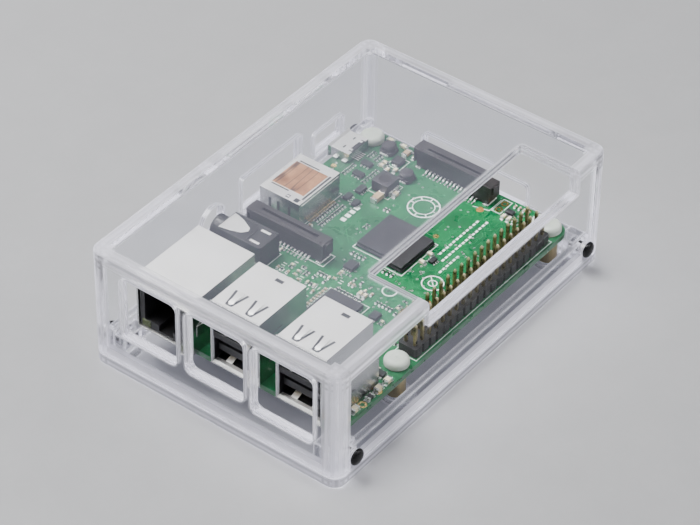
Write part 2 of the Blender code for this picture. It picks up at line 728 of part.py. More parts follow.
CHIPS = [
    # name, centre x, centre y, size x, size y, bottom, top, slot
    ("processor", 30.6, 30.7, 12.8, 12.8, 0.15, 0.75, "chip_epoxy"),
    ("memory_chip", 30.6, 30.7, 12.4, 12.4, 0.9, 1.5, "chip_epoxy"),
    ("usb_network_chip", 57.2, 34.0, 9.0, 9.0, 0.15, 1.0, "chip_epoxy"),
    ("inductor_front", 16.3, 17.0, 4.6, 4.6, 0.15, 3.0, "ferrite"),
    ("diode", 6.9, 13.7, 2.6, 2.3, 0.15, 1.1, "chip_epoxy"),
    ("smoothing_capacitor", 20.5, 18.0, 3.2, 1.6, 0.15, 1.3, "ceramic"),
    ("input_capacitor", 3.2, 13.4, 2.0, 1.25, 0.15, 0.95, "ceramic"),
    ("middle_chip", 43.4, 27.9, 2.9, 2.4, 0.15, 0.95, "chip_epoxy"),
    ("side_chip", 53.7, 42.4, 2.4, 2.0, 0.15, 0.95, "chip_epoxy"),
    ("power_lamp", 1.5, 7.6, 0.9, 1.7, 0.15, 0.9, "lamp_lens"),
    ("activity_lamp", 1.5, 11.4, 0.9, 1.7, 0.15, 0.9, "lamp_lens"),
]


def build_chips():
    for name, x, y, size_x, size_y, bottom, top, slot in CHIPS:
        mesh = bmesh.new()
        across = (x - size_x / 2, x + size_x / 2)
        along = (y - size_y / 2, y + size_y / 2)
        board_slab(mesh, across, along, (bottom, top))
        add_node(name, mesh, slot)


def build_drum_inductor(name, x, y):
    """A square ferrite base with a round drum on it."""
    half = DRUM_HALF_WIDTH
    mesh = bmesh.new()
    base = (PART_BOTTOM, DRUM_BASE_TOP)
    board_slab(mesh, (x - half, x + half), (y - half, y + half), base, corner=half * MM / 4, steps=1)
    inductor = add_node(name, mesh, "ferrite")
    drum = bmesh.new()
    radius, chamfer, height = DRUM_RADIUS * MM, DRUM_CHAMFER * MM, DRUM_HEIGHT * MM
    profile = [(radius, 0.0), (radius, height - chamfer), (radius - chamfer, height)]
    turned(drum, on_board(x, y, DRUM_BASE_TOP / 2), profile, (0, 0, 1), steps=16)
    combine(inductor, drum, "UNION")


def main():
    clear_scene()
    build_case_base()
    build_case_lid()
    build_side_screws()
    build_board_supports()
    build_circuit_board()
    build_pin_header()
    build_network_socket()
    for label, y in USB_CENTRES.items():
        build_usb_socket(label, y)
    build_video_socket()
    build_power_socket()
    build_audio_socket()
    build_ribbon_connector("camera", 45.0, 11.5, -0.3)
    build_ribbon_connector("display", 3.6, 28.0, 0.3)
    build_card_slot()
    build_memory_card()
    build_chips()
    build_drum_inductor("inductor_rear", 4.7, 9.3)
    build_drum_inductor("inductor_side", 10.4, 18.7)


main()
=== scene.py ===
"""The looks of a single-board computer in a clear two-part case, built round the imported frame.

Board places are in millimetres from the board's power-socket corner, with z = 0 on its
upper face, and at() turns them into metres in the frame.
"""
import random
from math import ceil, cos, pi, radians, sin

import bmesh
import bpy
from mathutils import Matrix, Vector


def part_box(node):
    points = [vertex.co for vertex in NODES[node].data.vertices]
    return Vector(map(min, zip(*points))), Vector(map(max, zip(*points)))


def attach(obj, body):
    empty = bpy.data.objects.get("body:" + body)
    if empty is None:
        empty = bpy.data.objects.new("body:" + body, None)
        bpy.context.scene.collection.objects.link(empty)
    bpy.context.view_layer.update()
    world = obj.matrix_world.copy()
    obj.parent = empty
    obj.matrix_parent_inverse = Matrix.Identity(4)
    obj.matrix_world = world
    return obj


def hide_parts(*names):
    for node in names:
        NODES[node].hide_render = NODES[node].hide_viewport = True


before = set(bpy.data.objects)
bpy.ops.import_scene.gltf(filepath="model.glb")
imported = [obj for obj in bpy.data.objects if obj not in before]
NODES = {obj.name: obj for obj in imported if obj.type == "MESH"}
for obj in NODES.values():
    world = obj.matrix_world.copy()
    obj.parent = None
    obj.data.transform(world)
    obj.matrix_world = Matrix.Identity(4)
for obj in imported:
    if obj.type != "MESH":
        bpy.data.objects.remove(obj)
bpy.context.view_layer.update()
MM = 0.001
SHARP_ANGLE = radians(30.0)

# Camera, with angles in degrees
VIEW_TARGET = Vector((2.69, 1.26, 15.6)) * MM
VIEW_AZIMUTH = 36.96
VIEW_ELEVATION = 40.30
VIEW_ROLL = 0.97
VIEW_DISTANCE = 675.9 * MM
VIEW_LENS = 155.9
SENSOR_WIDTH = 36.0

# Board, read from the frame
BOARD_LOW, BOARD_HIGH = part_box("circuit_board")
BOARD_LENGTH = (BOARD_HIGH.x - BOARD_LOW.x) / MM
BOARD_WIDTH = (BOARD_HIGH.y - BOARD_LOW.y) / MM
BOARD_UNDER = (BOARD_LOW.z - BOARD_HIGH.z) / MM

# Board details in millimetres: PRINTED is how far a printed mark reaches down and up
MOUNT_HOLES = [(x, y) for y in (3.5, 52.5) for x in (3.5, 61.5)]
PRINTED = (-0.02, 0.025)
TRACE_MARGIN = 1.5
TRACES_PER_HUB = 34
TRACE_SEED = 5
UNDERSIDE_PARTS = 70
UNDERSIDE_SEED = 21
HEADER_PITCH = 2.54
HEADER_COLUMNS = 20
PACKAGE_LEGS = 3
CHIP_0402 = (1.0, 0.5)
CHIP_0603 = (1.6, 0.8)
CHIP_0805 = (2.0, 1.25)

# Clear plastic. The calm shares are how much of it bends light but mirrors none, on upright
# and on level faces. A frosted rim is as wide as RIM_REACH, or POST_REACH up a corner; its white is
# partly frost and partly painted highlight for the light that the edges catch. The other shares
# are how much frost or painted glow shows, where the plastic is clean and where it is smeared.
PLASTIC_IOR = 1.49
CALM_SHARE = 0.86
CALM_SHARE_LEVEL = 0.98
RIM_REACH = 3.1 * MM
POST_REACH = 4.5 * MM
LINE_PITCH = 1.55 * MM
CASE_WALL = 2.8 * MM
CUT_MARGIN = 0.12 * MM
FROST_AND_HIGHLIGHT_WHITE = (0.92, 0.91, 0.985)
# Painted glow: faces of the case that look up give off a faint blue light, though the case is no lamp.
PAINTED_GLOW_BLUE = (0.78, 0.8, 1.0)
PAINTED_GLOW_STRENGTH = 1.15
PAINTED_GLOW_SHARE = (0.065, 0.105)
RIM_SHARE = (0.78, 0.92)
CUT_SHARE = (0.62, 0.8)
FROST_BACK_SHARE = 0.55
SHADOW_TINT = (0.96, 0.96, 0.97)

# Stage: each lamp's azimuth, elevation, distance, size and power, in degrees, metres and watts
FLOOR_HALF = 3.0
WORLD_COLOUR = (0.8, 0.83, 0.88, 1.0)
WORLD_STRENGTH = 0.22
LAMPS = {
    "overhead": (280.0, 66.0, 0.8, (0.4, 0.4), 8.8),
    "left": (305.0, 38.0, 0.9, (0.45, 0.3), 3.5),
    "right": (120.0, 30.0, 0.9, (0.45, 0.25), 2.5),
}


def at(x, y, z=0.0):
    """A place on the board, turned from board millimetres to metres in the frame."""
    return Vector((BOARD_LOW.x + x * MM, BOARD_LOW.y + y * MM, BOARD_HIGH.z + z * MM))


def board_box(node):
    """A CAD node's (low, high) corners in board millimetres."""
    low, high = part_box(node)
    origin = at(0, 0)
    return (low - origin) / MM, (high - origin) / MM


def about(middle, reach):
    """A (low, high) pair that reaches equally far to both sides of middle."""
    return middle - reach, middle + reach


def direction(azimuth, elevation):
    """A unit vector towards a place seen at two angles in degrees."""
    turn, lift = radians(azimuth), radians(elevation)
    return Vector((cos(lift) * cos(turn), cos(lift) * sin(turn), sin(lift)))


def link(obj):
    bpy.context.scene.collection.objects.link(obj)
    return obj


# ---- finishes

FINISHES = {}


class Shader:
    """A material's node tree, with short calls that add a node and wire its inputs."""

    def __init__(self, name):
        self.material = bpy.data.materials.new(name)
        self.material.use_nodes = True
        self.tree = self.material.node_tree
        self.principled = self.tree.nodes["Principled BSDF"]
        self.output = self.tree.nodes["Material Output"]
        self.place = self.add("TexCoord").outputs["Object"]

    def wire(self, node, inputs):
        for key, value in inputs.items():
            socket = node.inputs[key]
            if isinstance(value, bpy.types.NodeSocket):
                self.tree.links.new(value, socket)
            else:
                socket.default_value = value

    def add(self, kind, inputs=None, **settings):
        node = self.tree.nodes.new("ShaderNode" + kind)
        for key, value in settings.items():
            setattr(node, key, value)
        self.wire(node, inputs or {})
        return node

    def set(self, **inputs):
        self.wire(self.principled, {key.replace("_", " "): value for key, value in inputs.items()})

    def noise(self, scale, detail=3.0, stretch=None):
        place = self.place
        if stretch:
            place = self.add("Mapping", {"Vector": place, "Scale": stretch}).outputs["Vector"]
        inputs = {"Vector": place, "Scale": scale, "Detail": detail}
        return self.add("TexNoise", inputs).outputs["Fac"]

    def ramp(self, factor, low, high):
        """Spread a factor from low..high to 0..1."""
        spread = self.add("MapRange", {"Value": factor, "From Min": low, "From Max": high})
        return spread.outputs["Result"]

    def between(self, factor, low, high):
        """A value from low to high as factor goes from 0 to 1."""
        spread = self.add("MapRange", {"Value": factor, "To Min": low, "To Max": high})
        return spread.outputs["Result"]

    def mix(self, factor, first, second):
        node = self.add("Mix", data_type="RGBA")
        for index, value in ((0, factor), (6, first), (7, second)):
            if isinstance(value, bpy.types.NodeSocket):
                self.tree.links.new(value, node.inputs[index])
            else:
                node.inputs[index].default_value = value if index == 0 else (*value, 1.0)
        return node.outputs[2]

    def maths(self, operation, first, second):
        node = self.add("Math", operation=operation)
        self.wire(node, {0: first, 1: second})
        return node.outputs["Value"]

    def times(self, first, second):
        return self.maths("MULTIPLY", first, second)

    def absolute(self, value):
        return self.maths("ABSOLUTE", value, 0.0)

    def greatest(self, first, *others):
        """The largest of several factors."""
        for other in others:
            first = self.maths("MAXIMUM", first, other)
        return first

    def mix_shaders(self, factor, first, second):
        node = self.add("MixShader", {"Fac": factor})
        self.tree.links.new(first, node.inputs[1])
        self.tree.links.new(second, node.inputs[2])
        return node.outputs["Shader"]

    def facing(self):
        """The three parts of the surface direction."""
        normal = self.add("NewGeometry").outputs["Normal"]
        return self.add("SeparateXYZ", {"Vector": normal}).outputs

    def lying(self, low, high):
        """1 on level faces and 0 on upright ones, changing as the slope goes from low to high."""
        return self.ramp(self.absolute(self.facing()["Z"]), low, high)

    def near_edge(self, radius, low, high):
        """1 within about radius of an edge, 0 on open faces."""
        rounded = self.add("Bevel", {"Radius": radius}, samples=4).outputs["Normal"]
        flat = self.add("NewGeometry").outputs["True Normal"]
        turned = self.add("VectorMath", {0: rounded, 1: flat}, operation="DOT_PRODUCT")
        return self.ramp(turned.outputs["Value"], high, low)

    def bump(self, height, strength, distance, radius=None):
        """A bumped surface direction, with edges rounded over radius where one is given."""
        inputs = {"Height": height, "Strength": strength, "Distance": distance}
        if radius:
            rounded = self.add("Bevel", {"Radius": radius}, samples=3)
            inputs["Normal"] = rounded.outputs["Normal"]
        return self.add("Bump", inputs).outputs["Normal"]


def surface(name, colour, shade, roughness, metallic=0.0, blotch=90.0, grain=2600.0, depth=0.02,
            edge=0.12, stretch=None, wear=None, **extra):
    """A procedural finish: slow colour drift, fine grain in roughness and bump, worn soft edges.

    Colour drifts to shade in blotches, and edge and depth are in millimetres.
    """
    made = Shader(name)
    drift = made.ramp(made.noise(blotch, 4.0), 0.32, 0.68)
    fine = made.noise(grain, 3.0, stretch)
    speckle = made.ramp(fine, 0.3, 0.7)
    base = made.mix(drift, shade, colour)
    base = made.mix(made.between(speckle, 0.0, 0.3), base, shade)
    if wear:
        bare = made.near_edge(edge * MM, 0.9, 0.999)
        worn = made.times(bare, made.between(speckle, 0.2, 0.7))
        base = made.mix(worn, base, wear)
    smooth, dull = roughness
    rough = made.maths("ADD", made.between(drift, dull, smooth), made.between(speckle, -0.05, 0.05))
    normal = made.bump(fine, 0.7, depth * MM, edge * MM)
    made.set(Base_Color=base, Roughness=rough, Metallic=metallic, Normal=normal, **extra)
    FINISHES[name] = made.material


def case_depths(made):
    """How far a point lies inside the case's end, side and top or bottom faces."""
    low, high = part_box("case_base")
    high.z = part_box("case_lid")[1].z
    parts = made.add("SeparateXYZ", {"Vector": made.place}).outputs
    depths = []
    for axis in range(3):
        away = made.maths("SUBTRACT", parts[axis], (low[axis] + high[axis]) / 2)
        half = (high[axis] - low[axis]) / 2
        depths.append(made.maths("SUBTRACT", half, made.absolute(away)))
    seam = made.maths("SUBTRACT", parts["Z"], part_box("case_lid")[0].z)
    return depths, seam


def dips_with(made, depth, pitch):
    """0 at the outer face and every pitch inside it, 1 halfway between."""
    wave = made.maths("COSINE", made.times(depth, 2 * pi / pitch), 0.0)
    return made.ramp(wave, 1.0, -1.0)


def case_rim(made, depths, seam):
    """1 near the case's outer edges and the lid's seam, dipping in lines that run along each band."""
    near, post, dips = [], [], []
    for depth in depths:
        near.append(made.ramp(depth, RIM_REACH, RIM_REACH * 0.88))
        post.append(made.ramp(depth, POST_REACH, POST_REACH * 0.92))
        dips.append(made.times(post[-1], dips_with(made, depth, LINE_PITCH)))
    off_seam = made.absolute(seam)
    near[2] = made.maths("MAXIMUM", near[2], made.ramp(off_seam, RIM_REACH, RIM_REACH * 0.88))
    meetings = ((post[0], post[1]), (near[1], near[2]), (near[0], near[2]))
    band = made.greatest(*(made.times(first, second) for first, second in meetings))
    upward = made.ramp(made.facing()["Z"], 0.5, 0.9)
    dip = made.times(made.greatest(*dips), made.between(upward, 0.5, 0.28))
    return made.times(band, made.maths("SUBTRACT", 1.0, dip))


def wall_cuts(made, depths, seam):
    """1 on the faces that cross a wall's or the lid plate's thickness: window and notch edges."""
    cuts = []
    for depth in depths:
        below_skin = made.ramp(depth, CUT_MARGIN, CUT_MARGIN * 2)
        above_lining = made.ramp(depth, CASE_WALL - CUT_MARGIN, CASE_WALL - CUT_MARGIN * 2)
        line = made.between(dips_with(made, depth, CASE_WALL / 2), 1.0, 0.3)
        cuts.append(made.times(made.times(below_skin, above_lining), line))
    cuts[2] = made.times(cuts[2], made.ramp(seam, 0.0, RIM_REACH))
    return made.greatest(*cuts)


def clear_plastic():
    """Clear plastic that lets the lamps through to the board, frosted white along its edges, the white
    partly a painted highlight for the light that the edges catch.

    A share of it bends light without mirroring any, so that the pale floor's reflection in the
    walls doesn't hide what is behind them. Faces that look up carry a steady thin haze, painted
    as a faint glow of their own.
    """
    made = Shader("clear_acrylic")
    smear = made.ramp(made.noise(55.0, 5.0), 0.45, 0.75)
    scratches = made.noise(900.0, 2.0, (1.0, 14.0, 1.0))
    rough = made.between(smear, 0.01, 0.05)
    normal = made.bump(scratches, 0.05, 0.004 * MM)
    tint = made.mix(made.between(smear, 0.0, 0.5), (0.98, 0.982, 0.99), (0.93, 0.935, 0.95))
    made.set(Base_Color=tint, Roughness=rough, IOR=PLASTIC_IOR, Transmission_Weight=1.0, Normal=normal)
    inputs = {"Color": tint, "Roughness": rough, "IOR": PLASTIC_IOR, "Normal": normal}
    bent = made.add("BsdfRefraction", inputs).outputs["BSDF"]
    mirrored = made.add("Fresnel", {"IOR": PLASTIC_IOR, "Normal": normal}).outputs["Fac"]
    share = made.between(made.lying(0.8, 0.95), CALM_SHARE, CALM_SHARE_LEVEL)
    calm = made.times(made.ramp(mirrored, 0.98, 0.9), share)
    glass = made.mix_shaders(calm, made.principled.outputs["BSDF"], bent)
    depths, seam = case_depths(made)
    # Painted highlight, in part: white frost on the rims, cut faces and edges stands in for light caught
    # in the plastic.
    rim_frost_highlight = made.times(case_rim(made, depths, seam), made.between(smear, *RIM_SHARE))
    cuts = made.times(wall_cuts(made, depths, seam), made.between(smear, *CUT_SHARE))
    edges = made.between(made.near_edge(1.2 * MM, 0.80, 0.995), 0.0, 0.8)
    rim = made.greatest(rim_frost_highlight, cuts, edges)
    # Painted glow: an emission on faces that look up stands in for a lit haze.
    painted_glow_share = made.times(made.ramp(made.facing()["Z"], 0.8, 0.95), made.between(smear, *PAINTED_GLOW_SHARE))
    glow = made.add("Emission", {"Color": (*PAINTED_GLOW_BLUE, 1.0), "Strength": PAINTED_GLOW_STRENGTH})
    glass_with_painted_glow = made.mix_shaders(painted_glow_share, glass, glow.outputs["Emission"])
    through = made.add("BsdfTranslucent", {"Color": (*FROST_AND_HIGHLIGHT_WHITE, 1.0)}).outputs["BSDF"]
    back = made.add("BsdfDiffuse", {"Color": (*FROST_AND_HIGHLIGHT_WHITE, 1.0)}).outputs["BSDF"]
    glass_with_frost_highlight = made.mix_shaders(rim, glass_with_painted_glow, made.mix_shaders(FROST_BACK_SHARE, through, back))
    clear = made.add("BsdfTransparent", {"Color": (*SHADOW_TINT, 1.0)}).outputs["BSDF"]
    shadow = made.add("LightPath").outputs["Is Shadow Ray"]
    mixed = made.mix_shaders(shadow, glass_with_frost_highlight, clear)
    made.tree.links.new(mixed, made.output.inputs["Surface"])
    return made.material


def solder_mask():
    """Green mask over copper pours on the faces, bare glass-fibre board on the cut edge."""
    made = Shader("solder_mask")
    pour = made.ramp(made.noise(70.0, 1.0), 0.46, 0.5)
    cloud = made.ramp(made.noise(240.0, 4.0), 0.3, 0.7)
    green = made.mix(pour, (0.001, 0.075, 0.022), (0.002, 0.12, 0.036))
    green = made.mix(made.between(cloud, 0.0, 0.4), green, (0.004, 0.15, 0.05))
    cells = made.add("TexVoronoi", {"Vector": made.place, "Scale": 420.0, "Randomness": 0.8})
    via = made.ramp(cells.outputs["Distance"], 0.14, 0.09)
    green = made.mix(made.between(via, 0.0, 0.5), green, (0.05, 0.3, 0.15))
    weave = made.noise(3000.0, 2.0, (1.0, 1.0, 6.0))
    core = made.mix(weave, (0.012, 0.09, 0.03), (0.03, 0.15, 0.055))
    level = made.lying(0.4, 0.6)
    rough = made.between(cloud, 0.24, 0.38)
    height = made.maths("ADD", made.times(pour, 0.6), made.times(weave, 0.3))
    normal = made.bump(height, 0.5, 0.02 * MM, 0.1 * MM)
    made.set(Base_Color=made.mix(level, core, green), Roughness=rough, Normal=normal, Coat_Weight=0.3)
    return made.material


def silk_print():
    """White print, thin in places so that the board shows through it."""
    made = Shader("silk_print")
    thin = made.ramp(made.noise(4500.0, 2.0), 0.62, 0.72)
    white = made.mix(thin, (0.82, 0.86, 0.83), (0.25, 0.5, 0.33))
    made.set(Base_Color=white, Roughness=made.between(thin, 0.5, 0.7),
             Normal=made.bump(thin, 0.4, 0.01 * MM))
    return made.material


def scratched_copper():
    """A bronze spring plate with fine grain and a few long dark scratches that wander across it."""
    made = Shader("scratched_copper")
    fine = made.noise(2200.0, 4.0, (1.0, 9.0, 1.0))
    cloud = made.ramp(made.noise(330.0, 3.0), 0.3, 0.7)
    base = made.mix(cloud, (0.46, 0.2, 0.085), (0.68, 0.35, 0.17))
    base = made.mix(made.between(made.ramp(fine, 0.56, 0.68), 0.0, 0.6), base, (0.22, 0.1, 0.055))
    turned = {"Vector": made.place, "Rotation": (0.0, 0.0, 0.9), "Scale": (1.0, 12.0, 1.0)}
    slant = made.add("Mapping", turned).outputs["Vector"]
    wander = made.add("TexNoise", {"Vector": slant, "Scale": 45.0, "Detail": 1.0})
    off_line = made.absolute(made.maths("SUBTRACT", wander.outputs["Fac"], 0.5))
    scratch = made.ramp(off_line, 0.03, 0.012)
    base = made.mix(made.between(scratch, 0.0, 0.8), base, (0.1, 0.055, 0.04))
    made.set(Base_Color=base, Metallic=0.75, Roughness=made.between(cloud, 0.32, 0.5),
             Normal=made.bump(fine, 0.5, 0.02 * MM, 0.08 * MM))
    return made.material


def pin_gold():
    """Gold flash that is dull and dark along the pin, with a painted highlight: the tip is coloured
    bright.
    """
    made = Shader("pin_gold")
    height = made.add("SeparateXYZ", {"Vector": made.place}).outputs["Z"]
    # Painted highlight: the top of each pin is coloured bright gold.
    tip = made.ramp(height, at(0, 0, 7.7).z, at(0, 0, 8.3).z)
    cloud = made.ramp(made.noise(900.0, 3.0), 0.35, 0.65)
    shaft = made.mix(cloud, (0.1, 0.085, 0.035), (0.26, 0.215, 0.09))
    made.set(Base_Color=made.mix(tip, shaft, (0.95, 0.82, 0.5)), Metallic=0.9,
             Roughness=made.between(cloud, 0.25, 0.4), Normal=made.bump(cloud, 0.3, 0.01 * MM, 0.08 * MM))
    return made.material


def tin_plate():
    """Rolled tin plate: soft and painted bright where it lies flat, smoother and painted darker on
    upright walls; the bright and dark are painted light and shade.
    """
    made = Shader("tin_plate")
    drift = made.ramp(made.noise(60.0, 4.0), 0.32, 0.68)
    fine = made.noise(1500.0, 3.0, (1.0, 8.0, 1.0))
    flat = made.lying(0.5, 0.9)
    # Painted light and shade: level faces take a bright colour as if lit from above, upright walls a dark
    # one as if in shade.
    bright = made.mix(drift, (0.8, 0.79, 0.76), (0.92, 0.91, 0.88))
    walls = made.mix(drift, (0.42, 0.43, 0.42), (0.55, 0.56, 0.55))
    worn = made.times(made.near_edge(0.12 * MM, 0.9, 0.999), 0.6)
    base = made.mix(worn, made.mix(flat, walls, bright), (0.95, 0.95, 0.93))
    rough = made.maths("ADD", made.between(flat, 0.24, 0.42), made.between(fine, -0.05, 0.05))
    made.set(Base_Color=base, Metallic=made.between(flat, 1.0, 0.8), Roughness=rough,
             Normal=made.bump(fine, 0.7, 0.008 * MM, 0.12 * MM))
    return made.material


def make_finishes():
    """Every finish, kept under the name that the CAD materials and the pieces ask for."""
    FINISHES.update(clear_plastic=clear_plastic(), green_board=solder_mask(), silk=silk_print(),
                    copper_plate=scratched_copper(), tin_plate=tin_plate(), pin_gold=pin_gold())
    surface("black_plastic", (0.011, 0.011, 0.012), (0.005, 0.005, 0.006), (0.38, 0.52),
            wear=(0.045, 0.045, 0.05))
    surface("brown_plastic", (0.02, 0.017, 0.018), (0.011, 0.009, 0.01), (0.36, 0.5),
            wear=(0.06, 0.052, 0.055))
    surface("chip_epoxy", (0.016, 0.0155, 0.02), (0.009, 0.0085, 0.011), (0.42, 0.56), grain=5200.0,
            wear=(0.06, 0.06, 0.07))
    surface("gold_plate", (0.9, 0.68, 0.3), (0.68, 0.47, 0.17), (0.18, 0.3), 1.0, blotch=400.0,
            depth=0.006, edge=0.06)
    surface("brass", (0.42, 0.34, 0.16), (0.24, 0.19, 0.085), (0.3, 0.44), 1.0, blotch=260.0,
            grain=900.0, stretch=(1.0, 1.0, 14.0), wear=(0.75, 0.62, 0.33))
    surface("milky_nylon", (0.66, 0.7, 0.62), (0.52, 0.57, 0.5), (0.3, 0.42), blotch=300.0,
            depth=0.03, edge=0.2, Transmission_Weight=0.25, Subsurface_Weight=0.6,
            Subsurface_Radius=(1.2 * MM, 1.3 * MM, 1.0 * MM))
    surface("black_steel", (0.018, 0.018, 0.02), (0.009, 0.009, 0.01), (0.22, 0.34), 0.6,
            wear=(0.16, 0.15, 0.14))
    surface("ferrite", (0.03, 0.027, 0.031), (0.015, 0.013, 0.016), (0.42, 0.6), grain=4200.0,
            depth=0.04, wear=(0.09, 0.085, 0.095))
    surface("ceramic", (0.5, 0.36, 0.22), (0.36, 0.25, 0.15), (0.36, 0.5), wear=(0.62, 0.5, 0.36))
    surface("cream_ceramic", (0.8, 0.72, 0.5), (0.66, 0.56, 0.36), (0.34, 0.48))
    surface("lamp_lens", (0.86, 0.84, 0.6), (0.75, 0.7, 0.45), (0.2, 0.32), Transmission_Weight=0.25)
    surface("green_lens", (0.1, 0.13, 0.04), (0.05, 0.07, 0.02), (0.2, 0.34), Transmission_Weight=0.2)
    surface("card_plastic", (0.026, 0.026, 0.03), (0.014, 0.014, 0.016), (0.34, 0.46))
    surface("solder", (0.8, 0.8, 0.78), (0.6, 0.6, 0.59), (0.2, 0.38), 1.0, blotch=700.0, depth=0.03)
    surface("bare_copper", (0.85, 0.42, 0.14), (0.62, 0.28, 0.08), (0.28, 0.42), 0.8, blotch=500.0)
    surface("copper_trace", (0.005, 0.19, 0.062), (0.003, 0.14, 0.045), (0.25, 0.36), blotch=500.0,
            Coat_Weight=0.3)
    surface("floor_paper", (0.44, 0.44, 0.45), (0.42, 0.42, 0.43), (0.6, 0.7), grain=500.0, edge=0.1)


def dress_cad_nodes():
    """Give every CAD object the finish that its own material is named after."""
    for node in NODES.values():
        for slot in node.material_slots:
            slot.material = FINISHES[slot.material.name.split(".")[0]]


# ---- mesh helpers

def loft(mesh, rings, closed=False):
    """Join rings of equal size into a skin: capped at both ends, or closed into a loop."""
    layers = [[mesh.verts.new(point) for point in ring] for ring in rings]
    count = len(layers[0])
    following = layers[1:] + ([layers[0]] if closed else [])
    for lower, upper in zip(layers, following):
        for index in range(count):
            other = (index + 1) % count
            mesh.faces.new((lower[index], lower[other], upper[other], upper[index]))
    if not closed:
        mesh.faces.new(reversed(layers[0]))
        mesh.faces.new(layers[-1])


class Piece:
    """One visible piece: parts are gathered in a mesh, then finished as an object on a body."""

    def __init__(self, name, finish, body="base"):
        self.name = name
        self.finish = finish
        self.body = body
        self.mesh = bmesh.new()

    def block(self, x, y, z, bevel=0.06, turn=0.0):
        """A box from (low, high) pairs in board millimetres, turned about its own centre."""
        corners = bmesh.ops.create_cube(self.mesh, size=1.0)["verts"]
        size = Vector((x[1] - x[0], y[1] - y[0], z[1] - z[0])) * MM
        placed = Matrix.Translation(at(sum(x) / 2, sum(y) / 2, sum(z) / 2))
        placed = placed @ Matrix.Rotation(radians(turn), 4, "Z") @ Matrix.Diagonal((*size, 1.0))
        bmesh.ops.transform(self.mesh, matrix=placed, verts=corners)
        if bevel:
            edges = list({edge for corner in corners for edge in corner.link_edges})
            bmesh.ops.bevel(self.mesh, geom=edges, offset=bevel * MM, segments=1, affect="EDGES",
                            profile=0.5)

    def turned(self, centre, profile, axis=(0, 0, 1), steps=20, closed=False):
        """Turn (radius, distance) pairs about an axis through centre, in millimetres.

        An open profile makes a solid with flat ends, and a closed one a ring.
        """
        lean = Vector((0, 0, 1)).rotation_difference(Vector(axis)).to_matrix()
        angles = [2 * pi * step / steps for step in range(steps)]
        rings = []
        for radius, distance in profile:
            points = [Vector((radius * cos(angle), radius * sin(angle), distance)) for angle in angles]
            rings.append([centre + lean @ (point * MM) for point in points])
        loft(self.mesh, rings, closed)

    def ring(self, centre, inner, outer, low, high, axis=(0, 0, 1), steps=28):
        """A flat washer between two radii, in millimetres."""
        section = [(inner, low), (outer, low), (outer, high), (inner, high)]
        self.turned(centre, section, axis, steps, closed=True)

    def strip(self, points, across, width, thickness=0.16):
        """A bent strip through board points, its width along the across direction."""
        path = [at(*point) for point in points]
        across = Vector(across).normalized()
        rings = []
        for index, point in enumerate(path):
            before = path[max(index - 1, 0)]
            after = path[min(index + 1, len(path) - 1)]
            out = across.cross((after - before).normalized()) * thickness / 2 * MM
            side = across * width / 2 * MM
            rings.append([point - side - out, point + side - out, point + side + out, point - side + out])
        loft(self.mesh, rings)

    def prism(self, outline, low, high):
        """Raise an (x, y) outline in board millimetres from low to high."""
        loft(self.mesh, [[at(x, y, z) for x, y in outline] for z in (low, high)])

    def line(self, start, end, width, low=PRINTED[0], high=PRINTED[1]):
        """A printed or raised line between two places on the board."""
        run = Vector((end[0] - start[0], end[1] - start[1], 0.0)).normalized()
        side = Vector((-run.y, run.x, 0.0)) * width / 2
        corners = [(start[0] - side.x, start[1] - side.y), (end[0] - side.x, end[1] - side.y),
                   (end[0] + side.x, end[1] + side.y), (start[0] + side.x, start[1] + side.y)]
        self.prism(corners, low, high)

    def frame(self, x, y, width):
        """A printed rectangle outline from (low, high) pairs."""
        reach = width / 2
        for across in y:
            self.line((x[0] - reach, across), (x[1] + reach, across), width)
        for along in x:
            self.line((along, y[0] + reach), (along, y[1] - reach), width)

    def done(self, replaces=(), slot=None):
        """Finish the piece: it stands for the CAD nodes it replaces; slot is not used."""
        bmesh.ops.recalc_face_normals(self.mesh, faces=self.mesh.faces)
        data = bpy.data.meshes.new(self.name)
        self.mesh.to_mesh(data)
        self.mesh.free()
        data.materials.append(FINISHES[self.finish])
        data.shade_smooth()
        data.set_sharp_from_angle(angle=SHARP_ANGLE)
        obj = link(bpy.data.objects.new(self.name, data))
        if replaces:
            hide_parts(*replaces)
        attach(obj, self.body)


# ---- pin header

def solder_cone(skirt, *tips):
    """A joint's profile under the board: a round skirt, then (radius, drop) pairs."""
    profile = [(0.85, BOARD_UNDER + 0.02), (0.8, BOARD_UNDER - skirt)]
    return profile + [(radius, BOARD_UNDER - drop) for radius, drop in tips]


def build_header():
    """The header's notched strip, its two rows of pins and their solder joints."""
    low, high = board_box("pin_header")
    notch = 0.42
    starts = [low.x + column * HEADER_PITCH for column in range(HEADER_COLUMNS)]
    near, far = [], []
    for start in starts:
        end = start + HEADER_PITCH
        near += [(start, low.y + notch), (start + notch, low.y), (end - notch, low.y)]
        far += [(start, high.y - notch), (start + notch, high.y), (end - notch, high.y)]
    near.append((high.x, low.y + notch))
    far.append((high.x, high.y - notch))
    strip = Piece("header_strip", "black_plastic")
    strip.prism(near + far[::-1], low.z, HEADER_PITCH)
    strip.done(replaces=["pin_header"])

    pins = Piece("header_pins", "pin_gold")
    joints = Piece("header_solder", "solder")
    tail = BOARD_UNDER - 1.6
    sections = ((0.12, tail), (0.32, tail + 0.4), (0.32, high.z - 0.55), (0.14, high.z))
    cone = solder_cone(0.12, (0.45, 0.75))
    for column in range(HEADER_COLUMNS):
        for row in range(2):
            x = low.x + HEADER_PITCH * (column + 0.5)
            y = low.y + HEADER_PITCH * (row + 0.5)
            rings = []
            for half, z in sections:
                corners = ((-1, -1), (1, -1), (1, 1), (-1, 1))
                rings.append([at(x + a * half, y + b * half, z) for a, b in corners])
            loft(pins.mesh, rings)
            joints.turned(at(x, y), cone, steps=12)
    pins.done()
    joints.done()


# ---- sockets

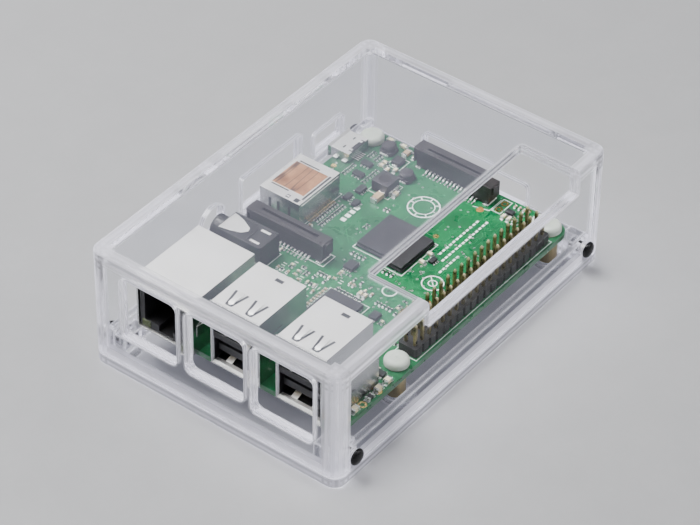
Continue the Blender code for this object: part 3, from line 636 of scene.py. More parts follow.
def build_network_socket():
    """Eight spring wires, two lamps in the mouth, and the shell's folded edges and side springs."""
    low, high = board_box("network_shell")
    front, centre = high.x, (low.y + high.y) / 2
    contacts = Piece("network_contacts", "gold_plate")
    bends = ((1.6, 10.6), (3.0, 10.3), (8.0, 7.6), (9.5, 7.9))
    for wire in range(8):
        y = centre + (wire - 3.5) * 1.02
        contacts.strip([(front - back, y, z) for back, z in bends], (0, 1, 0), 0.42, 0.28)
    contacts.done()

    lamps = Piece("network_lamps", "green_lens")
    for y in about(centre, 5.5):
        lamps.block((front - 0.9, front - 0.12), about(y, 1.2), (1.1, 2.9), 0.1)
    lamps.done()

    trim = Piece("network_trim", "tin_plate")
    for y in ((low.y + 0.05, low.y + 0.42), (high.y - 0.42, high.y - 0.05)):
        trim.block((front - 0.35, front + 0.02), y, (0.3, high.z - 0.2))
    for side, y in ((-1, low.y), (1, high.y)):
        bends = ((1.2, 0.0), (3.0, 0.35), (6.6, 0.1))
        trim.strip([(front - back, y + side * bow, 6.2) for back, bow in bends], (0, 0, 1), 3.0, 0.2)
    for seam in ((1.0, 1.6), (high.z - 2.0, high.z - 1.6)):
        trim.block((low.x - 0.12, low.x + 0.1), about(centre, 5.5), seam, 0.04)
    trim.done()


def build_usb_socket(label):
    """Spring cuts and leaves in the shell, the cuts black strips of painted shade; contacts on both
    tongues; black sheets of painted shade inside.
    """
    low, high = board_box(f"usb_shell_{label}")
    front, centre = high.x, (low.y + high.y) / 2
    roof = 16.0
    inlay = (roof - 0.05, roof + 0.02)
    # Painted shade: the slots are not cut; black strips lie where the dark gaps would show.
    cuts = Piece(f"usb_slot_shade_{label}", "black_plastic")
    leaves = Piece(f"usb_leaves_{label}", "tin_plate")
    for middle in about(centre, 2.7):
        for side in (-1, 1):
            wide = (front - 6.2, middle + side * 1.6)
            tip = (front - 1.35, middle + side * 0.62)
            cuts.line(wide, tip, 0.6, *inlay)
        cuts.line(*((front - 1.35, y) for y in about(middle, 0.7)), 0.4, *inlay)
        bends = ((6.2, 0.0), (2.8, 0.12), (1.9, -0.1))
        leaf = [(front - back, middle, roof + bow) for back, bow in bends]
        leaves.strip(leaf, (0, 1, 0), 1.3)
    cuts.block((front - 14.7, front - 13.7), (centre - 0.1, centre + 2.0), inlay, 0.0)
    for side in (-1, 1):
        wall = centre + side * 6.55
        for slot in ((4.6, 4.9), (10.6, 10.9)):
            cuts.block((front - 8.0, front - 3.5), about(wall, 0.03), slot, 0.0)
        bends = ((8.2, 0.0), (4.6, 0.22), (3.2, 0.0))
        leaf = [(front - back, wall + side * bow, 7.7) for back, bow in bends]
        leaves.strip(leaf, (0, 0, 1), 2.4)
    leaves.block((low.x - 0.05, low.x + 0.1), about(centre, 5.6), (1.2, high.z - 0.62), 0.05)
    cuts.done()

    contacts = Piece(f"usb_contacts_{label}", "gold_plate")
    for tongue_top in (3.0, 11.0):
        for pad in (-3.5, -1.25, 1.25, 3.5):
            y, z = centre + pad, tongue_top - 0.02
            path = [(front - 9.0, y, z), (front - 2.2, y, z), (front - 1.7, y, tongue_top + 0.12)]
            contacts.strip(path, (0, 1, 0), 1.1, 0.22)
    contacts.done()

    for mouth_low, mouth_high in ((0.75, 7.3), (8.7, 15.4)):
        for y in about(centre, 2.8):
            for z, inward in ((mouth_high, -1), (mouth_low, 1)):
                bends = ((1.3, 0.0), (3.6, 0.75), (6.0, 0.1))
                leaf = [(front - back, y, z + inward * bow) for back, bow in bends]
                leaves.strip(leaf, (0, 1, 0), 1.7)
    for y in (centre - 2.9, centre + 2.3):
        leaves.turned(at(front - 0.5, y, 9.3), [(0.36, -0.5), (0.42, 0.0), (0.2, 0.25)], (1, 0, 0), 14)
    leaves.done()

    # Painted shade: black sheets line the mouths and the divider, where the metal inside lies in shade.
    lining = Piece(f"usb_painted_shade_{label}", "black_plastic")
    for sheet in ((0.58, 0.66), (7.14, 7.22), (8.78, 8.86), (15.46, 15.54)):
        lining.block((front - 9.4, front - 1.5), about(centre, 6.1), sheet, 0.0)
    for wall in about(centre, 6.1):
        lining.block((front - 9.4, front - 0.45), about(wall, 0.04), (0.6, 15.5), 0.0)
    lining.block((front - 0.68, front - 0.3), about(centre, 6.1), (7.2, 8.8))
    lining.done()


def build_video_socket():
    """The copper spring plate and its slots in the roof, the slots black strips of painted shade,
    mounting feet, and both rows of contacts.
    """
    low, high = board_box("video_shell")
    top = high.z
    plate = Piece("video_spring_plate", "copper_plate")
    plate.block((27.2, 36.4), (low.y + 1.0, high.y - 1.3), (top - 0.05, top + 0.07), 0.05)
    plate.done()

    # Painted shade: the slots are not cut; black strips lie where the dark gaps would show.
    cuts = Piece("video_slot_shade", "black_plastic")
    for x, near, far in (((26.5, 26.85), low.y + 1.6, 4.2), ((36.7, 37.05), low.y + 1.3, 5.2),
                         ((27.0, 37.6), high.y - 0.95, 0.45), ((37.9, 39.2), high.y - 2.2, 0.9),
                         ((37.9, 39.0), high.y - 4.6, 3.6)):
        cuts.block(x, (near, high.y - far), (top - 0.05, top + 0.03), 0.0)
    for y in (1.0, 3.4, 6.6):
        cuts.block(about(high.x, 0.03), (y, y + 0.8), (1.6, 4.4), 0.0)
    cuts.done()

    trim = Piece("video_trim", "tin_plate")
    trim.block((38.2, 38.7), (high.y - 4.5, high.y - 3.7), (top, top + 0.1), 0.04)
    trim.block((low.x - 0.2, high.x + 0.2), (low.y - 0.02, low.y + 0.3), (top - 0.3, top + 0.12), 0.08)
    for x in (low.x, high.x):
        for foot in ((1.4, 3.0), (7.2, 8.8)):
            trim.block(about(x, 0.5), foot, (BOARD_UNDER - 0.6, 0.5), 0.08)
    trim.block((low.x + 0.6, high.x - 0.6), (high.y - 0.05, high.y + 0.14), (0.5, top - 0.6))
    trim.done()

    contacts = Piece("video_contacts", "gold_plate")
    for pad in range(10):
        x = (low.x + high.x) / 2 + (pad - 4.5) * 1.0
        for tongue_face in ((3.85, 4.0), (2.5, 2.65)):
            contacts.block(about(x, 0.22), (low.y + 1.3, low.y + 8.0), tongue_face, 0.0)
    for pad in range(19):
        x = (low.x + high.x) / 2 + (pad - 9) * 0.5
        contacts.block(about(x, 0.11), (high.y + 0.1, high.y + 1.2), (0.0, 0.16), 0.0)
    contacts.done()


def build_power_socket():
    """Slots and springs in the roof, the slots black strips of painted shade, mounting feet, and the row
    of soldered contacts.
    """
    low, high = board_box("power_shell")
    centre, top = (low.x + high.x) / 2, 2.85
    # Painted shade: black strips stand for the gaps in the shell.
    cuts = Piece("power_slot_shade", "black_plastic")
    trim = Piece("power_trim", "tin_plate")
    for side in (-1, 1):
        x = centre + side * 1.9
        cuts.block(about(x, 0.5), (1.9, 2.3), (top - 0.04, top + 0.02), 0.0)
        trim.block(about(x, 0.3), (high.y - 1.5, high.y - 0.3), (top - 0.02, top + 0.08), 0.04)
        for foot in ((0.4, 1.7), (3.0, 4.3)):
            trim.block(about(centre + side * 3.9, 0.45), foot, (BOARD_UNDER - 0.4, 0.7), 0.08)
    cuts.block(about(centre, 2.6), (high.y - 1.1, high.y + 0.05), (top - 0.3, top + 0.02), 0.05)
    cuts.done()
    for pad in range(5):
        x = centre + (pad - 2) * 0.65
        trim.block(about(x, 0.17), (high.y - 0.1, high.y + 1.1), (0.0, 0.2), 0.0)
    trim.done()


def build_audio_socket():
    """A metal liner with bent legs and a spring leaf on top, and the plastic rim and ribs."""
    low, high = board_box("audio_socket")
    centre, top = (low.x + high.x) / 2, high.z
    mouth = at(centre, low.y, 3.1)
    liner = Piece("audio_liner", "tin_plate")
    liner.ring(mouth, 1.75, 2.15, -0.04, 3.0, axis=(0, 1, 0))
    for y, width in ((2.4, 1.5), (5.6, 1.0), (8.8, 1.5), (11.4, 1.0)):
        for x, side in ((low.x, -1), (high.x, 1)):
            bends = ((0.0, 1.6), (0.3, 0.9), (0.35, 0.15), (1.3, 0.08))
            liner.strip([(x + side * out, y, z) for out, z in bends], (0, 1, 0), width, 0.25)
    leaf = [(low.x + 0.3, 0.2), (high.x - 0.5, 0.2), (high.x - 1.1, 3.2), (centre + 1.5, 5.6),
            (centre + 0.2, 6.6), (centre - 0.9, 6.2), (low.x + 1.2, 3.4)]
    liner.prism(leaf, top - 0.05, top + 0.12)
    for x in (low.x + 1.4, high.x - 1.4):
        liner.block(about(x, 0.35), (8.6, 11.2), (top - 0.05, top + 0.14))
    liner.done()

    rim = Piece("audio_rim", "black_plastic")
    rim.ring(mouth, 2.1, 2.95, -0.06, 0.35, axis=(0, 1, 0))
    for rib in ((low.x, low.x + 0.5), (high.x - 0.5, high.x)):
        rim.block(rib, (0.1, 12.4), (top - 0.05, top + 0.2))
    rim.block((low.x + 0.5, high.x - 0.5), (7.2, 8.0), (top - 0.05, top + 0.14))
    rim.done()


# ---- ribbon connectors

def build_ribbon_connector(label):
    """Contacts along one side, anchor tabs at the ends, and a finger groove on the collar."""
    low, high = board_box(f"{label}_connector_base")
    centre = (low.y + high.y) / 2
    edge = high.x + 0.4
    legs = Piece(f"{label}_contacts", "solder")
    for contact in range(15):
        y = centre + (contact - 7) * 1.0
        leg = [(edge + out, y, z) for out, z in ((-0.5, 0.5), (0.25, 0.35), (0.5, 0.08), (1.5, 0.06))]
        legs.strip(leg, (0, 1, 0), 0.42)
    for y in (low.y + 0.6, high.y - 0.6):
        legs.block((low.x - 0.5, high.x + 0.5), about(y, 0.7), (0.0, 0.35))
    legs.done()

    low, high = board_box(f"{label}_connector_collar")
    middle, top = (low.x + high.x) / 2, high.z
    grip = Piece(f"{label}_collar_grip", "brown_plastic", f"{label}_collar")
    for y in (low.y, high.y):
        grip.block(about(middle, 1.2), about(y, 0.35), (top - 2.2, top - 0.2), 0.12)
    grip.block(about(middle + 1.0, 0.3), (low.y + 1.2, high.y - 1.2), (top - 0.05, top + 0.12))
    grip.done()


# ---- small parts

class SmallParts:
    """Surface-mount parts gathered by finish, so each finish is one object."""

    def __init__(self):
        self.bodies = {
            "brown": Piece("capacitors_brown", "ceramic"),
            "cream": Piece("capacitors_cream", "cream_ceramic"),
            "black": Piece("resistors", "chip_epoxy"),
        }
        self.ends = Piece("part_ends", "solder")
        self.marks = Piece("part_marks", "silk")

    def chip(self, kind, x, y, turn=0.0, size=CHIP_0402):
        """A two-ended part centred on x, y, its long side turned from the board's x direction."""
        long_side, short_side = size
        height = short_side * (0.65 if kind == "black" else 0.9)
        cap = long_side * 0.24
        run = Vector((cos(radians(turn)), sin(radians(turn))))
        self.bodies[kind].block(about(x, long_side / 2 - cap * 0.6), about(y, short_side / 2),
                                (0.02, height), 0.04, turn)
        for side in (-1, 1):
            end_x = x + run.x * side * (long_side - cap) / 2
            end_y = y + run.y * side * (long_side - cap) / 2
            self.ends.block(about(end_x, cap / 2), about(end_y, short_side / 2 + 0.03),
                            (0.0, height + 0.03), 0.05, turn)
            pad_x = x + run.x * side * long_side * 0.52
            pad_y = y + run.y * side * long_side * 0.52
            self.ends.block(about(pad_x, cap * 0.7), about(pad_y, short_side * 0.55),
                            (-0.01, 0.07), 0.0, turn)

    def package(self, x, y, size, height, turn=0.0):
        """A small black chip with legs on its two long sides."""
        body = self.bodies["black"]
        body.block(about(x, size[0] / 2), about(y, size[1] / 2), (0.1, height), 0.07, turn)
        spin = Matrix.Rotation(radians(turn), 2)
        pitch = size[0] / PACKAGE_LEGS
        for leg in range(PACKAGE_LEGS):
            for side in (-1, 1):
                along = (leg - (PACKAGE_LEGS - 1) / 2) * pitch
                offset = spin @ Vector((along, side * (size[1] / 2 + 0.25)))
                self.ends.block(about(x + offset.x, pitch * 0.24), about(y + offset.y, 0.32),
                                (0.0, 0.28), 0.04, turn)

    def row(self, kind, axis, start, pitch, count, size=CHIP_0402):
        """Equal parts side by side along the board's x or y axis, each lying across it."""
        for index in range(count):
            if axis == "x":
                self.chip(kind, start[0] + pitch * index, start[1], 90.0, size)
            else:
                self.chip(kind, start[0], start[1] + pitch * index, 0.0, size)

    def fill(self, seed, x, y, share, clear):
        """Rows of small parts on a grid that turns from tile to tile, kept off the clear boxes."""
        chance = random.Random(seed)
        tile = 4.2
        for column in range(ceil((x[1] - x[0]) / tile)):
            for row in range(ceil((y[1] - y[0]) / tile)):
                turn = chance.choice([0.0, 90.0])
                pitch = (1.75, 0.95) if turn == 0.0 else (0.95, 1.75)
                start = (x[0] + column * tile, y[0] + row * tile)
                for i in range(int(tile / pitch[0])):
                    for j in range(int(tile / pitch[1])):
                        spot = (start[0] + (i + 0.5) * pitch[0], start[1] + (j + 0.5) * pitch[1])
                        blocked = any(a - 0.7 < spot[0] < c + 0.7 and b - 0.7 < spot[1] < d + 0.7
                                      for a, b, c, d in clear)
                        if blocked or chance.random() > share:
                            continue
                        kind = chance.choice(["black", "black", "black", "brown", "cream"])
                        if chance.random() < 0.35:
                            self.mark_part(spot, turn)
                        else:
                            self.chip(kind, spot[0], spot[1], turn)

    def mark_part(self, spot, turn):
        """Two printed corner ticks, as stand round an empty place for a part."""
        run = (0.5, 0.0) if turn == 0.0 else (0.0, 0.5)
        for side in (-1, 1):
            x, y = spot[0] + side * run[1] * 0.8, spot[1] + side * run[0] * 0.8
            self.marks.line((x - run[0], y - run[1]), (x + run[0], y + run[1]), 0.18)

    def done(self):
        for piece in self.bodies.values():
            piece.done()
        self.ends.done()
        self.marks.done()


TALL_NODES = ("processor", "usb_network_chip", "usb_shell", "inductor", "diode", "smoothing_capacitor",
              "input_capacitor", "middle_chip", "side_chip", "power_lamp", "activity_lamp", "pin_header",
              "network_shell", "video_shell", "power_shell", "audio_socket", "board_screw",
              "camera_connector_collar", "display_connector_collar")


def occupied():
    """The (low x, low y, high x, high y) places on the board that the larger CAD parts take."""
    corners = [board_box(node) for node in NODES if node.startswith(TALL_NODES)]
    return [(low.x, low.y, high.x, high.y) for low, high in corners]


def build_small_parts():
    """Placed chips, resistors and capacitors, then fields of small ones between the larger parts."""
    parts = SmallParts()
    # power input, between the power socket and the inductors
    parts.package(12.0, 8.4, (2.8, 1.5), 0.95, 90.0)
    parts.package(16.3, 9.2, (2.8, 1.6), 0.95, 90.0)
    parts.package(20.5, 13.1, (2.8, 1.6), 0.95)
    parts.package(24.4, 12.3, (2.4, 1.5), 0.9)
    parts.package(25.2, 15.2, (2.2, 1.4), 0.9)
    parts.row("black", "x", (7.2, 7.0), 1.0, 3)
    parts.row("black", "x", (7.4, 9.0), 1.0, 3)
    parts.row("black", "x", (13.9, 6.0), 1.0, 5)
    parts.row("cream", "x", (8.9, 11.4), 1.3, 2, CHIP_0603)
    parts.chip("cream", 10.8, 13.4, 0.0, CHIP_0603)
    parts.chip("cream", 9.8, 15.0, 0.0, CHIP_0603)
    parts.row("black", "x", (12.4, 11.6), 1.05, 6)
    parts.chip("cream", 16.8, 20.4, 0.0, (2.0, 1.0))
    parts.chip("cream", 3.0, 15.6, 0.0, CHIP_0603)
    parts.row("black", "y", (1.4, 14.2), 1.0, 3)
    # beyond the video socket
    parts.row("black", "x", (28.0, 11.7), 0.95, 9)
    parts.row("black", "x", (27.6, 13.5), 0.95, 10)
    parts.row("brown", "x", (37.6, 11.7), 1.0, 3)
    # round the processor and beside the pin header
    parts.row("black", "x", (29.4, 22.0), 1.1, 2)
    parts.row("black", "y", (22.4, 21.6), 1.0, 2)
    parts.chip("cream", 27.6, 38.4, 90.0, CHIP_0603)
    parts.chip("cream", 31.0, 38.6, 90.0, CHIP_0603)
    parts.package(29.2, 40.2, (2.0, 1.3), 0.8)
    parts.row("black", "y", (38.8, 32.4), 1.2, 4)
    parts.row("black", "y", (39.4, 25.2), 1.1, 4)
    parts.package(4.4, 44.0, (2.0, 1.4), 0.9, 90.0)
    parts.row("brown", "y", (1.6, 43.6), 1.2, 4)
    parts.row("cream", "y", (6.4, 43.6), 1.5, 3, CHIP_0603)
    # round the USB and network chip
    parts.row("black", "y", (51.4, 30.0), 0.95, 8)
    parts.row("brown", "x", (53.0, 28.2), 1.05, 8)
    parts.row("black", "y", (63.4, 30.0), 0.95, 9)
    parts.row("cream", "y", (49.6, 35.2), 1.3, 2, CHIP_0603)
    parts.row("black", "y", (49.6, 39.8), 1.0, 5)
    # beside the USB sockets at the header corner
    for x in (67.6, 70.8):
        parts.chip("cream", x, 54.6, 0.0, CHIP_0805)
    parts.package(66.6, 51.8, (2.6, 1.6), 0.9, 90.0)
    parts.chip("black", 74.0, 54.7, 0.0, CHIP_0805)
    parts.chip("cream", 79.2, 54.6, 0.0, CHIP_0805)
    blocked = occupied()
    parts.fill(11, (48.6, 66.0), (14.6, 27.0), 0.62, blocked)
    parts.fill(12, (45.6, 49.0), (26.6, 38.0), 0.5, blocked)
    parts.fill(13, (45.0, 57.0), (43.8, 49.4), 0.35, blocked)
    parts.fill(14, (64.6, 68.6), (22.0, 48.0), 0.5, blocked)
    parts.fill(15, (47.6, 50.0), (3.0, 14.0), 0.4, blocked)
    parts.done()


def add_terminals(piece, node, axis, reach, proud, top=None, bevel=0.06):
    """Solder at both ends of a CAD part along an axis, standing proud of its sides, or set in."""
    low, high = board_box(node)
    for end in (low[axis], high[axis]):
        spans = [(low[side] - proud, high[side] + proud) for side in (0, 1)]
        spans[axis] = about(end, reach)
        piece.block(*spans, (0.0, top or high.z + 0.03), bevel)


def build_node_trims():
    """Solder ends and pads that belong to the larger CAD parts, and the coils' round caps."""
    trims = Piece("part_terminals", "solder")
    for node in ("power_lamp", "activity_lamp"):
        add_terminals(trims, node, 1, 0.3, 0.04)
    for node in ("smoothing_capacitor", "input_capacitor"):
        add_terminals(trims, node, 0, 0.3, 0.04)
    low, high = board_box("diode")
    for x in (low.x, high.x):
        trims.block(about(x, 0.4), about((low.y + high.y) / 2, 0.7), (0.0, 0.45), 0.08)
    add_terminals(trims, "inductor_front", 1, 0.35, -0.5, 1.1, 0.1)
    for node in ("inductor_rear", "inductor_side"):
        add_terminals(trims, node, 0, 0.3, -0.6, 0.5, 0.08)
    for node in ("middle_chip", "side_chip"):
        low, high = board_box(node)
        for leg in range(4):
            y = low.y + (high.y - low.y) * (leg + 0.5) / 4
            for x in (low.x, high.x):
                trims.block(about(x, 0.42), about(y, 0.15), (0.0, 0.3), 0.05)
    trims.done()

    drums = Piece("inductor_caps", "ferrite")
    for node in ("inductor_rear", "inductor_side"):
        low, high = board_box(node)
        centre = at((low.x + high.x) / 2, (low.y + high.y) / 2)
        drums.turned(centre, [(1.5, high.z - 0.05), (1.5, high.z + 0.05), (1.3, high.z + 0.1)], steps=8)
        drums.ring(centre, 1.55, 1.85, 0.85, 1.3, steps=8)
    drums.done()


def build_chip_details():
    """Fine legs round the network chip, pin-one marks, and the memory chip's solder balls."""
    legs = Piece("network_chip_legs", "solder")
    low, high = board_box("usb_network_chip")
    count, pitch = 16, 0.5
    for index in range(count):
        offset = (index - (count - 1) / 2) * pitch
        for y in (low.y, high.y):
            legs.block(about((low.x + high.x) / 2 + offset, 0.12), about(y, 0.35), (0.0, 0.2), 0.0)
        for x in (low.x, high.x):
            legs.block(about(x, 0.35), about((low.y + high.y) / 2 + offset, 0.12), (0.0, 0.2), 0.0)
    legs.done()

    tops = Piece("chip_marks", "brown_plastic")
    for node in ("usb_network_chip", "memory_chip"):
        low, high = board_box(node)
        tops.turned(at(low.x + 1.1, low.y + 1.1), [(0.4, high.z - 0.02), (0.4, high.z + 0.015)], steps=16)
    low, high = board_box("inductor_front")
    centre = at((low.x + high.x) / 2, (low.y + high.y) / 2)
    tops.turned(centre, [(1.7, high.z - 0.02), (1.6, high.z + 0.06)], steps=24)
    tops.done(slot="chip_epoxy")

    balls = Piece("memory_chip_balls", "solder")
    low, high = board_box("memory_chip")
    profile = [(0.12, low.z - 0.16), (0.22, low.z - 0.08), (0.12, low.z + 0.01)]
    for column in range(12):
        for row in (0, 1, 10, 11):
            for x, y in ((column, row), (row, column)):
                balls.turned(at(low.x + 0.7 + x, low.y + 0.7 + y), profile, steps=8)
    balls.done()


# ---- board marks

def build_silk_print():
    """Plain outlines, rings and dashes: no lettering and no marks of any maker."""
    silk = Piece("silk_outlines", "silk")
    low, high = board_box("processor")
    silk.frame((low.x - 0.5, high.x + 0.5), (low.y - 0.5, high.y + 0.5), 0.18)
    outlined = {"pin_header": 0.35, "usb_network_chip": 0.9, "camera_connector_collar": 0.35,
                "audio_socket": 0.3, "video_shell": 0.35, "diode": 0.7, "inductor_front": 0.6}
    for node, gap in outlined.items():
        low, high = board_box(node)
        silk.frame((low.x - gap, high.x + gap), (max(low.y, 0.3) - gap, high.y + gap), 0.15)
    silk.line((6.4, 39.6), (7.4, 35.6), 0.15)
    silk.line((6.4, 39.6), (1.6, 39.6), 0.15)
    silk.frame((0.9, 5.9), (39.9, 42.2), 0.15)
    silk.ring(at(35.2, 44.6), 2.35, 2.62, *PRINTED, steps=40)
    silk.ring(at(35.2, 44.6), 0.9, 1.1, *PRINTED)
    silk.line((33.6, 43.0), (36.8, 46.2), 0.2)
    silk.ring(at(44.6, 39.6), 1.5, 1.8, *PRINTED, steps=32)
    wheel = (16.2, 28.0)
    silk.ring(at(*wheel), 3.6, 3.9, *PRINTED, steps=48)
    silk.ring(at(*wheel), 2.5, 2.7, *PRINTED, steps=40)
    for spoke in range(8):
        angle = radians(45 * spoke)
        inner, outer = ((wheel[0] + reach * cos(angle), wheel[1] + reach * sin(angle))
                        for reach in (2.6, 3.7))
        silk.line(inner, outer, 0.3)
    for row, (start, end) in enumerate(((11.0, 26.0), (10.0, 27.0), (24.0, 31.0))):
        y = 39.8 + row * 1.9
        x = start
        while x < end:
            silk.line((x, y), (x + 0.85, y), 0.5)
            x += 1.3
    for x in (25.5, 27.2, 28.9, 30.6):
        silk.line((x, 16.2), (x + 1.1, 16.2), 1.3)
    for x in (12.0, 16.0, 20.0, 24.0):
        silk.line((x, 55.4), (x + 0.9, 55.4), 0.3)
    silk.done()


def on_board(spot):
    """Whether a place is on the board and clear of its edge."""
    return (TRACE_MARGIN < spot[0] < BOARD_LENGTH - TRACE_MARGIN
            and TRACE_MARGIN < spot[1] < BOARD_WIDTH - TRACE_MARGIN)


def build_traces():
    """Raised copper runs under the mask: straight legs joined at 45 degrees, and plated vias."""
    chance = random.Random(TRACE_SEED)
    traces = Piece("copper_traces", "copper_trace")
    vias = Piece("plated_vias", "solder")
    slant = 0.707
    headings = [(1, 0), (slant, slant), (0, 1), (-slant, slant), (-1, 0), (-slant, -slant), (0, -1),
                (slant, -slant)]
    hubs = [(30.6, 30.7, 9.0), (57.2, 34.0, 7.0), (32.0, 47.0, 3.0), (16.0, 12.0, 6.0), (46.0, 38.0, 5.0),
            (72.0, 26.0, 6.0), (12.0, 44.0, 4.0)]
    for x, y, reach in hubs:
        for run in range(TRACES_PER_HUB):
            heading = chance.randrange(8)
            spot = (x + chance.uniform(-reach, reach), y + chance.uniform(-reach, reach))
            for leg in range(3):
                length = chance.uniform(1.2, 5.0)
                step = headings[heading % 8]
                following = (spot[0] + step[0] * length, spot[1] + step[1] * length)
                if not on_board(following):
                    break
                traces.line(spot, following, 0.2, -0.02, 0.018)
                spot = following
                heading += chance.choice([-1, 1])
            vias.ring(at(*spot), 0.12, 0.3, -0.02, 0.03, steps=10)
    traces.done()
    vias.done()


def build_pads():
    """Gold rings and discs on both faces of the board, and two copper test pads."""
    gold = Piece("gold_pads", "gold_plate")
    for x, y in ((2.2, 41.0), (4.6, 41.0)):
        gold.ring(at(x, y), 0.45, 0.95, -0.02, 0.04, steps=24)
    for x, y in ((17.0, 2.4), (0.9, 46.8), (66.0, 20.0), (48.0, 46.0), (21.4, 35.4)):
        gold.turned(at(x, y), [(0.75, -0.02), (0.7, 0.05)])
    for x, y in MOUNT_HOLES:
        gold.ring(at(x, y), 1.38, 2.7, -0.02, 0.03, steps=36)
        gold.ring(at(x, y), 1.38, 2.95, BOARD_UNDER - 0.03, BOARD_UNDER + 0.02, steps=36)
    for x in (71.2, 76.6, 82.4):
        gold.ring(at(x, 54.7), 0.55, 1.05, -0.02, 0.05, steps=24)
    gold.done(slot="brass")
    test = Piece("test_pads", "bare_copper")
    test.turned(at(7.4, 37.7), [(0.95, -0.02), (0.9, 0.04)], steps=24)
    test.turned(at(41.0, 47.6), [(0.7, -0.02), (0.65, 0.04)], steps=24)
    test.done()


def build_underside():
    """Soldered tails of the through-hole sockets, and small parts on the under face."""
    joints = Piece("underside_joints", "solder")
    cone = solder_cone(0.1, (0.4, 0.7), (0.3, 1.2))
    for node in ("network_shell", "usb_shell_inner", "usb_shell_outer"):
        low, high = board_box(node)
        tails = []
        for column in range(4):
            for x in (low.x + 4.0, low.x + 6.6):
                tails.append((x, (low.y + high.y) / 2 + (column - 1.5) * 2.2))
        for x in (low.x + 3.0, low.x + 12.0):
            tails += [(x, low.y + 0.8), (x, high.y - 0.8)]
        for x, y in tails:
            joints.turned(at(x, y), cone, steps=12)
    chance = random.Random(UNDERSIDE_SEED)
    bodies = Piece("underside_parts", "ceramic")
    for part in range(UNDERSIDE_PARTS):
        x, y = chance.uniform(18.0, 66.0), chance.uniform(8.0, 46.0)
        for end in about(x, 0.42):
            joints.block(about(end, 0.16), about(y, 0.28), (BOARD_UNDER - 0.4, BOARD_UNDER), 0.03)
        bodies.block(about(x, 0.32), about(y, 0.25), (BOARD_UNDER - 0.38, BOARD_UNDER), 0.03)
    joints.done()
    bodies.done()


# ---- screws and card

def dome(radius, height, start, steps=10):
    """A (radius, distance) profile with a short upright rim and a round top."""
    rim = height * 0.25
    profile = [(radius * 0.94, start), (radius, start + rim * 0.4), (radius, start + rim)]
    for step in range(1, steps + 1):
        angle = radians(86 * step / steps)
        profile.append((radius * cos(angle), start + rim + (height - rim) * sin(angle)))
    return profile


def pan_head(radius, start, top, steps=7):
    """A (radius, distance) profile with an upright side, a round shoulder and a nearly flat top."""
    shoulder = (top - start) * 0.55
    profile = [(radius * 0.95, start), (radius, start + 0.15)]
    for step in range(steps + 1):
        angle = radians(90 * step / steps)
        inward, down = shoulder * (1 - cos(angle)), shoulder * (1 - sin(angle))
        profile.append((radius - inward, top - down - 0.06))
    profile.append((radius * 0.3, top))
    return profile


def build_screws():
    """Nylon screws into the standoffs, and black button-head screws in the case's sides."""
    for node in sorted(NODES):
        low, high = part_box(node)
        middle = (low + high) / 2
        if node.startswith("board_screw"):
            head = Piece(node.replace("board_screw", "nylon_screw"), "milky_nylon")
            centre = Vector((middle.x, middle.y, BOARD_HIGH.z))
            radius = (high.x - low.x) / 2 / MM
            top = (high.z - BOARD_HIGH.z) / MM
            shank = [(1.05, (low.z - BOARD_HIGH.z) / MM), (1.05, 0.1)]
            head.turned(centre, shank + pan_head(radius, 0.1, top), steps=40)
            head.turned(centre, [(0.3, top - 0.1), (0.28, top + 0.03), (0.15, top + 0.06)], steps=16)
            head.done(replaces=[node])
        if node.startswith("side_screw"):
            head = Piece(node + "_head", "black_steel", node)
            side, face = (1, high.y) if middle.y > 0 else (-1, low.y)
            length = (high.y - low.y) / MM
            profile = [(1.25, -length), (1.25, -1.3)] + dome(2.0, 1.3, -1.3)
            head.turned(Vector((middle.x, face, middle.z)), profile, (0, side, 0), steps=40)
            head.done(replaces=[node])


def build_card_details():
    """The memory card's contacts on its under face and its finger ridge."""
    low, high = board_box("memory_card")
    pads = Piece("memory_card_contacts", "gold_plate", "memory_card")
    for pad in range(8):
        y = (low.y + high.y) / 2 + (pad - 3.5) * 1.1
        pads.block((high.x - 3.6, high.x - 0.8), about(y, 0.4), about(low.z, 0.02), 0.0)
    pads.done()
    ridge = Piece("memory_card_ridge", "card_plastic", "memory_card")
    ridge.block((low.x + 0.15, low.x + 0.75), (low.y + 1.2, high.y - 1.2), (high.z - 0.02, high.z + 0.18))
    ridge.done()


def build_standoff_details():
    """Brass collars where each standoff meets the board."""
    collars = Piece("standoff_collars", "brass")
    for x, y in MOUNT_HOLES:
        collars.ring(at(x, y), 1.42, 2.3, BOARD_UNDER - 0.6, BOARD_UNDER - 0.16, steps=36)
    collars.done(slot="brass")


# ---- stage

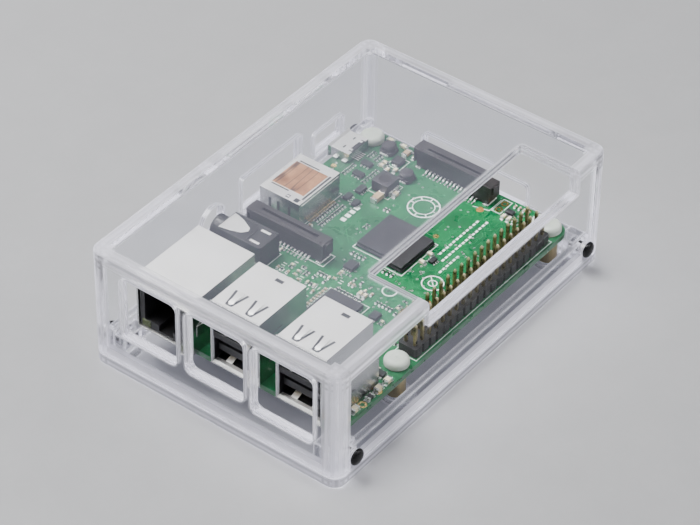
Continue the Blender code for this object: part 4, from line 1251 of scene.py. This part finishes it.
def build_stage():
    """A pale paper floor and a dim even sky."""
    mesh = bpy.data.meshes.new("floor")
    corners = [(x * FLOOR_HALF, y * FLOOR_HALF, 0) for x, y in ((-1, -1), (1, -1), (1, 1), (-1, 1))]
    mesh.from_pydata(corners, [], [(0, 1, 2, 3)])
    mesh.materials.append(FINISHES["floor_paper"])
    link(bpy.data.objects.new("floor", mesh))
    world = bpy.data.worlds.new("studio")
    world.use_nodes = True
    background = world.node_tree.nodes["Background"]
    background.inputs["Color"].default_value = WORLD_COLOUR
    background.inputs["Strength"].default_value = WORLD_STRENGTH
    bpy.context.scene.world = world


def add_softbox(name, azimuth, elevation, distance, size, power):
    """A rectangular lamp that faces the part from the given direction."""
    light = bpy.data.lights.new(name, "AREA")
    light.shape = "RECTANGLE"
    light.size, light.size_y = size
    light.energy = power
    lamp = link(bpy.data.objects.new(name, light))
    away = direction(azimuth, elevation)
    lamp.location = away * distance
    lamp.rotation_euler = away.to_track_quat("Z", "Y").to_euler()


def build_camera():
    """Look at the target from the view's direction, with the picture turned by the roll."""
    back = direction(VIEW_AZIMUTH, VIEW_ELEVATION)
    level = direction(VIEW_AZIMUTH + 90.0, 0.0)
    roll = radians(VIEW_ROLL)
    right = level * cos(roll) + back.cross(level) * sin(roll)
    placed = Matrix((right, back.cross(right), back)).transposed().to_4x4()
    placed.translation = VIEW_TARGET + back * VIEW_DISTANCE
    data = bpy.data.cameras.new("camera")
    data.lens = VIEW_LENS
    data.sensor_width = SENSOR_WIDTH
    camera = link(bpy.data.objects.new("camera", data))
    camera.matrix_world = placed
    bpy.context.scene.camera = camera


def main():
    make_finishes()
    dress_cad_nodes()
    build_header()
    build_network_socket()
    build_usb_socket("inner")
    build_usb_socket("outer")
    build_video_socket()
    build_power_socket()
    build_audio_socket()
    build_ribbon_connector("camera")
    build_ribbon_connector("display")
    build_small_parts()
    build_node_trims()
    build_chip_details()
    build_silk_print()
    build_traces()
    build_pads()
    build_underside()
    build_screws()
    build_card_details()
    build_standoff_details()
    build_stage()
    for name, lamp in LAMPS.items():
        add_softbox(name, *lamp)
    build_camera()


main()
